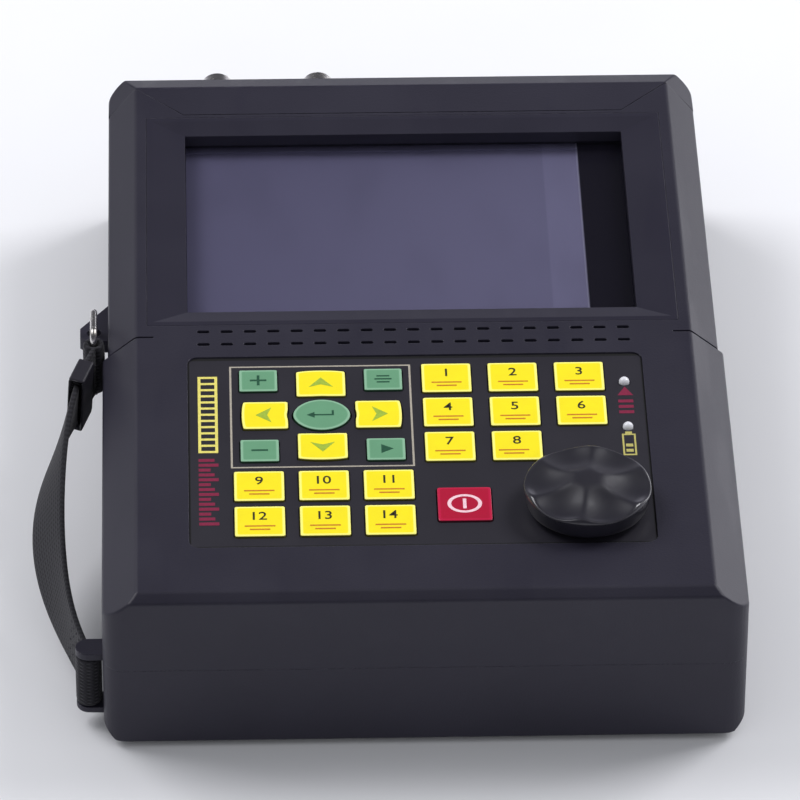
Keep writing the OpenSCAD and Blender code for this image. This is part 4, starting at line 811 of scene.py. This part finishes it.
# Connector end: two nickel-plated bayonet sockets with white insulators and gilt pins, clamped through the
# cap by nuts, then a shielded data port and a charger socket.
insulator_white = clouded("insulator_white", {"Base Color": (0.78, 0.77, 0.73), "Roughness": 0.45},
                          (2.5, 3.0), (0.80, 0.79, 0.76), (0.70, 0.69, 0.64), (0.38, 0.15), 0.01)
socket_black = satin_black("socket_black", (0.015, 0.0145, 0.019), 0.36, size=0.35, depth=0.015, handled=0.3,
                           radius=0.3)
brass = Finish("gilt_brass", {"Base Color": (0.72, 0.52, 0.20), "Metallic": 1.0, "Roughness": 0.26})
spot = brass.grain(2.0, 4.0)
brass.feed({"Base Color": brass.blend(brass.ease(spot, 0.4, 0.8), (0.78, 0.58, 0.24), (0.52, 0.36, 0.14)),
            "Roughness": spot * 0.22 + 0.16})
brass.relief(spot, 0.01)
moulded("probe_sockets", brushed, crease=35)
moulded("socket_nuts", brushed, crease=35)
moulded("socket_insulators", insulator_white, crease=35)
moulded("charger_socket", socket_black, crease=35)
moulded("data_port", brushed, crease=35)


# Hand strap: black woven webbing with sewn ends, looped round a moulded bar low on the left wall and round a
# bright wire ring in the eye beside the screen. A plastic slide near the ring takes up its length.
ring_x, ring_y, ring_z, ring_rod = -90.5, 123.0, 39.0, 1.0
bar_x, bar_y, bar_z, bar_rod = -92.0, 13.0, 15.0, 1.5
strap_w, strap_t, bow, lean, run_low_y, run_high_y = 16.0, 1.8, 12.0, 32.0, 15.7, 120.8


def strap_run(share):
    """The strap's middle line, and its directions across and outward. The line is straight from the bar to
    the ring, bowed out by a half sine, and rises by a smooth step. It is turned most at its middle."""
    x = bar_x + (ring_x - bar_x) * share - bow * np.sin(np.pi * share)
    rise = bar_z + (ring_z - bar_z) * share * share * (3 - 2 * share)
    turn = math.radians(lean) * np.sin(np.pi * share) ** 2
    c, s, zero = np.cos(turn), np.sin(turn), np.zeros_like(turn)
    return (np.column_stack([x, run_low_y + (run_high_y - run_low_y) * share, rise]),
            np.column_stack([s, zero, c]), np.column_stack([-c, zero, s]))


def band(middle, across, out, width, thick):
    """A woven band along a line: a rounded rectangle carried on its across and out directions, swelling a
    little at the two selvedges. Its UV map runs in millimetres along and across the band."""
    angle = np.linspace(0, 2 * math.pi, 40, endpoint=False)
    c, s = np.cos(angle), np.sin(angle)
    side = np.sign(c) * np.abs(c) ** 0.22 * width / 2
    depth = np.sign(s) * np.abs(s) ** 0.45 * thick / 2 * (1 - 0.16 * np.abs(c) ** 9)
    rings = middle[:, None] + across[:, None] * side[None, :, None] + out[:, None] * depth[None, :, None]
    run = np.concatenate([[0], np.cumsum(np.linalg.norm(np.diff(middle, axis=0), axis=1))])
    return rings, run, side


def webbing_piece(name, rings, run, side, closed=False):
    """Meshes a band's rings and lays its UV map."""
    levels, count = rings.shape[:2]
    faces = walls(levels, count, closed)
    if not closed:
        low_lid, high_lid = lids(levels, count)
        faces = [low_lid] + faces + [high_lid]
    made = piece(name, rings.reshape(-1, 3), faces, web, "webbing", crease=60)
    shape = bmesh.new()
    shape.from_mesh(made.data)
    bmesh.ops.recalc_face_normals(shape, faces=shape.faces)
    shape.to_mesh(made.data)
    shape.free()
    uv = made.data.uv_layers.new(name="UVMap")
    corner = np.empty(len(made.data.loops), int)
    made.data.loops.foreach_get("vertex_index", corner)
    level, around = corner // count, corner % count
    uv.data.foreach_set("uv", np.column_stack([run[np.minimum(level, levels - 1)], side[around]]).ravel())
    return made


web = Finish("woven_webbing", {"Base Color": (0.010, 0.0095, 0.013), "Roughness": 0.78, "Sheen Weight": 0.10,
                               "Sheen Roughness": 0.5, "Specular IOR Level": 0.3})
run_mm, across_mm, _ = web.axes(web.node("ShaderNodeUVMap", {"uv_map": "UVMap"}))
warp = (across_mm * (2 * math.pi / 1.15)).math("SINE")
weft = (run_mm * (2 * math.pi / 1.6) + warp * 1.4).math("SINE")
yarn = warp * 0.28 + weft * 0.42 + 0.5
fuzz = web.grain(0.5, 4.0)
fade = web.grain(14, 3.0)
web.feed({"Base Color": web.blend(yarn * 0.55 + fade * 0.3, (0.005, 0.0047, 0.0065), (0.024, 0.023, 0.031)),
          "Roughness": fuzz * 0.2 + 0.68})
web.relief(yarn * 0.75 + fuzz * 0.25, 0.16)

middle, across, out = strap_run(np.linspace(0, 1, 181))
rings, run, side = band(middle, across, out, strap_w, strap_t)
strap = webbing_piece("strap_webbing", rings, run, side)
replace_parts(strap, "hand_strap")
loop_turns = np.linspace(0, 2 * math.pi, 60, endpoint=False)
outward = np.column_stack([np.cos(loop_turns), np.sin(loop_turns), np.zeros(60)])
upward = np.tile([0.0, 0.0, 1.0], (60, 1))
for name, rod_middle, rod in (("strap_lower_loop", (bar_x, bar_y, bar_z), bar_rod),
                              ("strap_ring_loop", (ring_x, ring_y, ring_z), ring_rod)):
    middle = np.array(rod_middle) + outward * (rod + 0.3 + strap_t / 2)
    rings, run, side = band(middle, upward, outward, strap_w, strap_t)
    webbing_piece(name, rings, run, side, closed=True)
thread = ink("sewing_thread", (0.065, 0.063, 0.074), 0.7)
stitch_l, stitch_w, stitch_t, row_half = 1.0, 0.32, 0.20, 6.2
block, block_faces = prism(bar((0, 0), (stitch_l, stitch_w)), -stitch_t / 2, stitch_t / 2)
stitches = []
for low, high in ((0.030, 0.120), (0.945, 0.985)):
    marks = np.linspace(low, high, max(3, int((high - low) * 62)))
    for spot, across, out in zip(*strap_run(marks)):
        for row in np.linspace(-row_half, row_half, 5):
            for face in (-1, 1):
                middle = spot + across * row + out * face * (strap_t / 2 + 0.02)
                stitches.append((middle + block @ np.array([(0, 1, 0), across, out]), block_faces))
piece("strap_stitches", *joined(stitches)[:2], thread, "webbing")

trim_black = satin_black("trim_black", (0.0165, 0.0155, 0.0215), 0.38, size=0.4, depth=0.018, handled=0.5,
                         radius=0.4)
moulded("strap_buckle", trim_black, width=0.6, picked=lambda ends: True)
moulded("strap_ring", brushed, crease=60)


# Back: a folding stand plate in its tray, a ribbed battery cover held by four screws, four rubber feet and
# the six case screws.
stand_black = satin_black("stand_black", (0.0165, 0.0155, 0.0215), 0.44, size=0.5, depth=0.03, handled=0.6)
moulded("folding_stand", stand_black, "stand")
moulded("battery_cover", housing_black)
rubber = Finish("foot_rubber", {"Base Color": (0.022, 0.022, 0.023), "Roughness": 0.82,
                                "Specular IOR Level": 0.3})
dust = rubber.ease(rubber.grain(2.2, 5.0), 0.42, 0.72)
rubber.feed({"Base Color": rubber.blend(dust, (0.018, 0.018, 0.019), (0.060, 0.058, 0.055)),
             "Roughness": dust * 0.12 + 0.74})
rubber.relief(rubber.grain(0.35, 3.0), 0.03)
moulded("rubber_feet", rubber, crease=35)
dress(rubber, "shell_seal")

zinc = clouded("zinc_screw", {"Base Color": (0.46, 0.46, 0.47), "Metallic": 1.0, "Roughness": 0.34},
               (1.1, 4.0), (0.52, 0.52, 0.53), (0.36, 0.36, 0.36), (0.22, 0.25), 0.012)
screw_turns = np.linspace(0, 2 * math.pi, 96, endpoint=False)
screw_rays = np.column_stack([np.cos(screw_turns), np.sin(screw_turns)])
post_spots = ((79.0, 9.0), (79.0, 121.16), (68.0, 241.1))
cover_middle_y, cover_screw_x, cover_screw_y = 60.4, 50.4, 39.4


def cross_screw(spot, face_z, head_r, head_t, recess, shank_r, tip_z):
    """A pan-head screw seen from below: a soft cross recess sunk into a low dome, rounded at its rim, then
    the underside of the head and a plain shank up into its post."""
    dome, arm_half, arm_reach = 0.10 * head_r, 0.15, 0.54
    rings = []
    for share in np.concatenate([np.linspace(0.06, 0.62, 14), [0.7, 0.8, 0.9]]):
        aside = np.abs(screw_rays).min(1) * share
        slot = 1 / (1 + np.exp((aside - arm_half) * 60)) / (1 + np.exp((share - arm_reach) * 50))
        rings.append(ring(screw_rays, share * head_r, spot, face_z + dome * share ** 2 + recess * slot))
    for angle in (0, 30, 60, 90):
        turn = math.radians(angle)
        rings.append(ring(screw_rays, head_r * (0.94 + 0.06 * math.sin(turn)), spot,
                          face_z + dome * (2 - math.cos(turn))))
    top = face_z + head_t
    for reach, z in ((head_r, top), (shank_r, top), (shank_r, tip_z - 0.6), (shank_r * 0.3, tip_z)):
        rings.append(ring(screw_rays, reach, spot, z))
    return skin(rings)


def screw_set(name, spots, **sizes):
    """Like screws at several spots, as one piece."""
    skins = joined([cross_screw(spot, **sizes) for spot in spots])[:2]
    return piece(name, *skins, zinc, "screw_steel", crease=40)


case_spots = [(side * x, y) for side in (-1, 1) for x, y in post_spots]
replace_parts(screw_set("case_screw_set", case_spots, face_z=2.6, head_r=2.8, head_t=2.4, recess=1.2,
                      shank_r=1.4, tip_z=36.0), "case_screws")
cover_spots = [(side * cover_screw_x, cover_middle_y + rise * cover_screw_y)
               for side in (-1, 1) for rise in (-1, 1)]
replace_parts(screw_set("cover_screw_set", cover_spots, face_z=2.1, head_r=2.4, head_t=0.9, recess=0.5,
                      shank_r=1.15, tip_z=7.4), "battery_cover_screws")
dress(zinc, "board_screws")


# Inside: circuit boards, snap domes, battery, sounder, encoder and ribbon, seen only when the case is open.
# Each keeps its solid's own mesh.
laminate = Finish("board_laminate", {"Base Color": (0.010, 0.085, 0.035), "Roughness": 0.34})
x, y, _ = laminate.axes(laminate.where())
pad_pitch = 2.54
rows = (x * (2 * math.pi / pad_pitch)).math("SINE") * (y * (2 * math.pi / pad_pitch)).math("SINE")
track = laminate.ease(laminate.grain(3.0, 1.0, stretch=(0.25, 1.6, 1.0)), 0.50, 0.53)
pad = laminate.ease(rows, 0.86, 0.92)
mask = laminate.blend(track, (0.008, 0.070, 0.030), (0.016, 0.125, 0.052))
laminate.feed({"Base Color": laminate.blend(pad, mask, (0.70, 0.62, 0.42)),
               "Roughness": track * 0.08 + 0.30, "Metallic": pad})
laminate.relief(track * 0.6 + pad * 0.4, 0.03)
dress(laminate, "main_board", "keypad_board")

spring = clouded("spring_steel", {"Base Color": (0.60, 0.60, 0.61), "Metallic": 1.0, "Roughness": 0.24},
                 (0.5, 3.0, (0.06, 1.0, 1.0)), (0.64, 0.64, 0.65), (0.50, 0.50, 0.51), (0.14, 0.2), 0.008)
dress(spring, "dome_sheet")
dress(brass, "battery_contacts")

wrap = clouded("cell_wrap", {"Base Color": (0.020, 0.060, 0.26), "Roughness": 0.30},
               (7, 4.0, (1.0, 0.3, 1.0)), (0.018, 0.055, 0.24), (0.030, 0.085, 0.34), (0.22, 0.2), 0.25)
dress(wrap, "battery_pack")

amber = Finish("amber_film", {"Base Color": (0.36, 0.15, 0.02), "Roughness": 0.28})
x, _, _ = amber.axes(amber.where())
line_pitch = 1.0
line = amber.ease((x * (2 * math.pi / line_pitch)).math("SINE"), -0.1, 0.25)
amber.feed({"Base Color": amber.blend(line, (0.42, 0.19, 0.03), (0.26, 0.095, 0.014)),
            "Roughness": line * 0.1 + 0.24})
amber.relief(line, 0.02)
dress(amber, "display_ribbon")
dress(socket_black, "sounder")
dress(brushed, "encoder_body")
dress(insulator_white, "encoder_plunger")
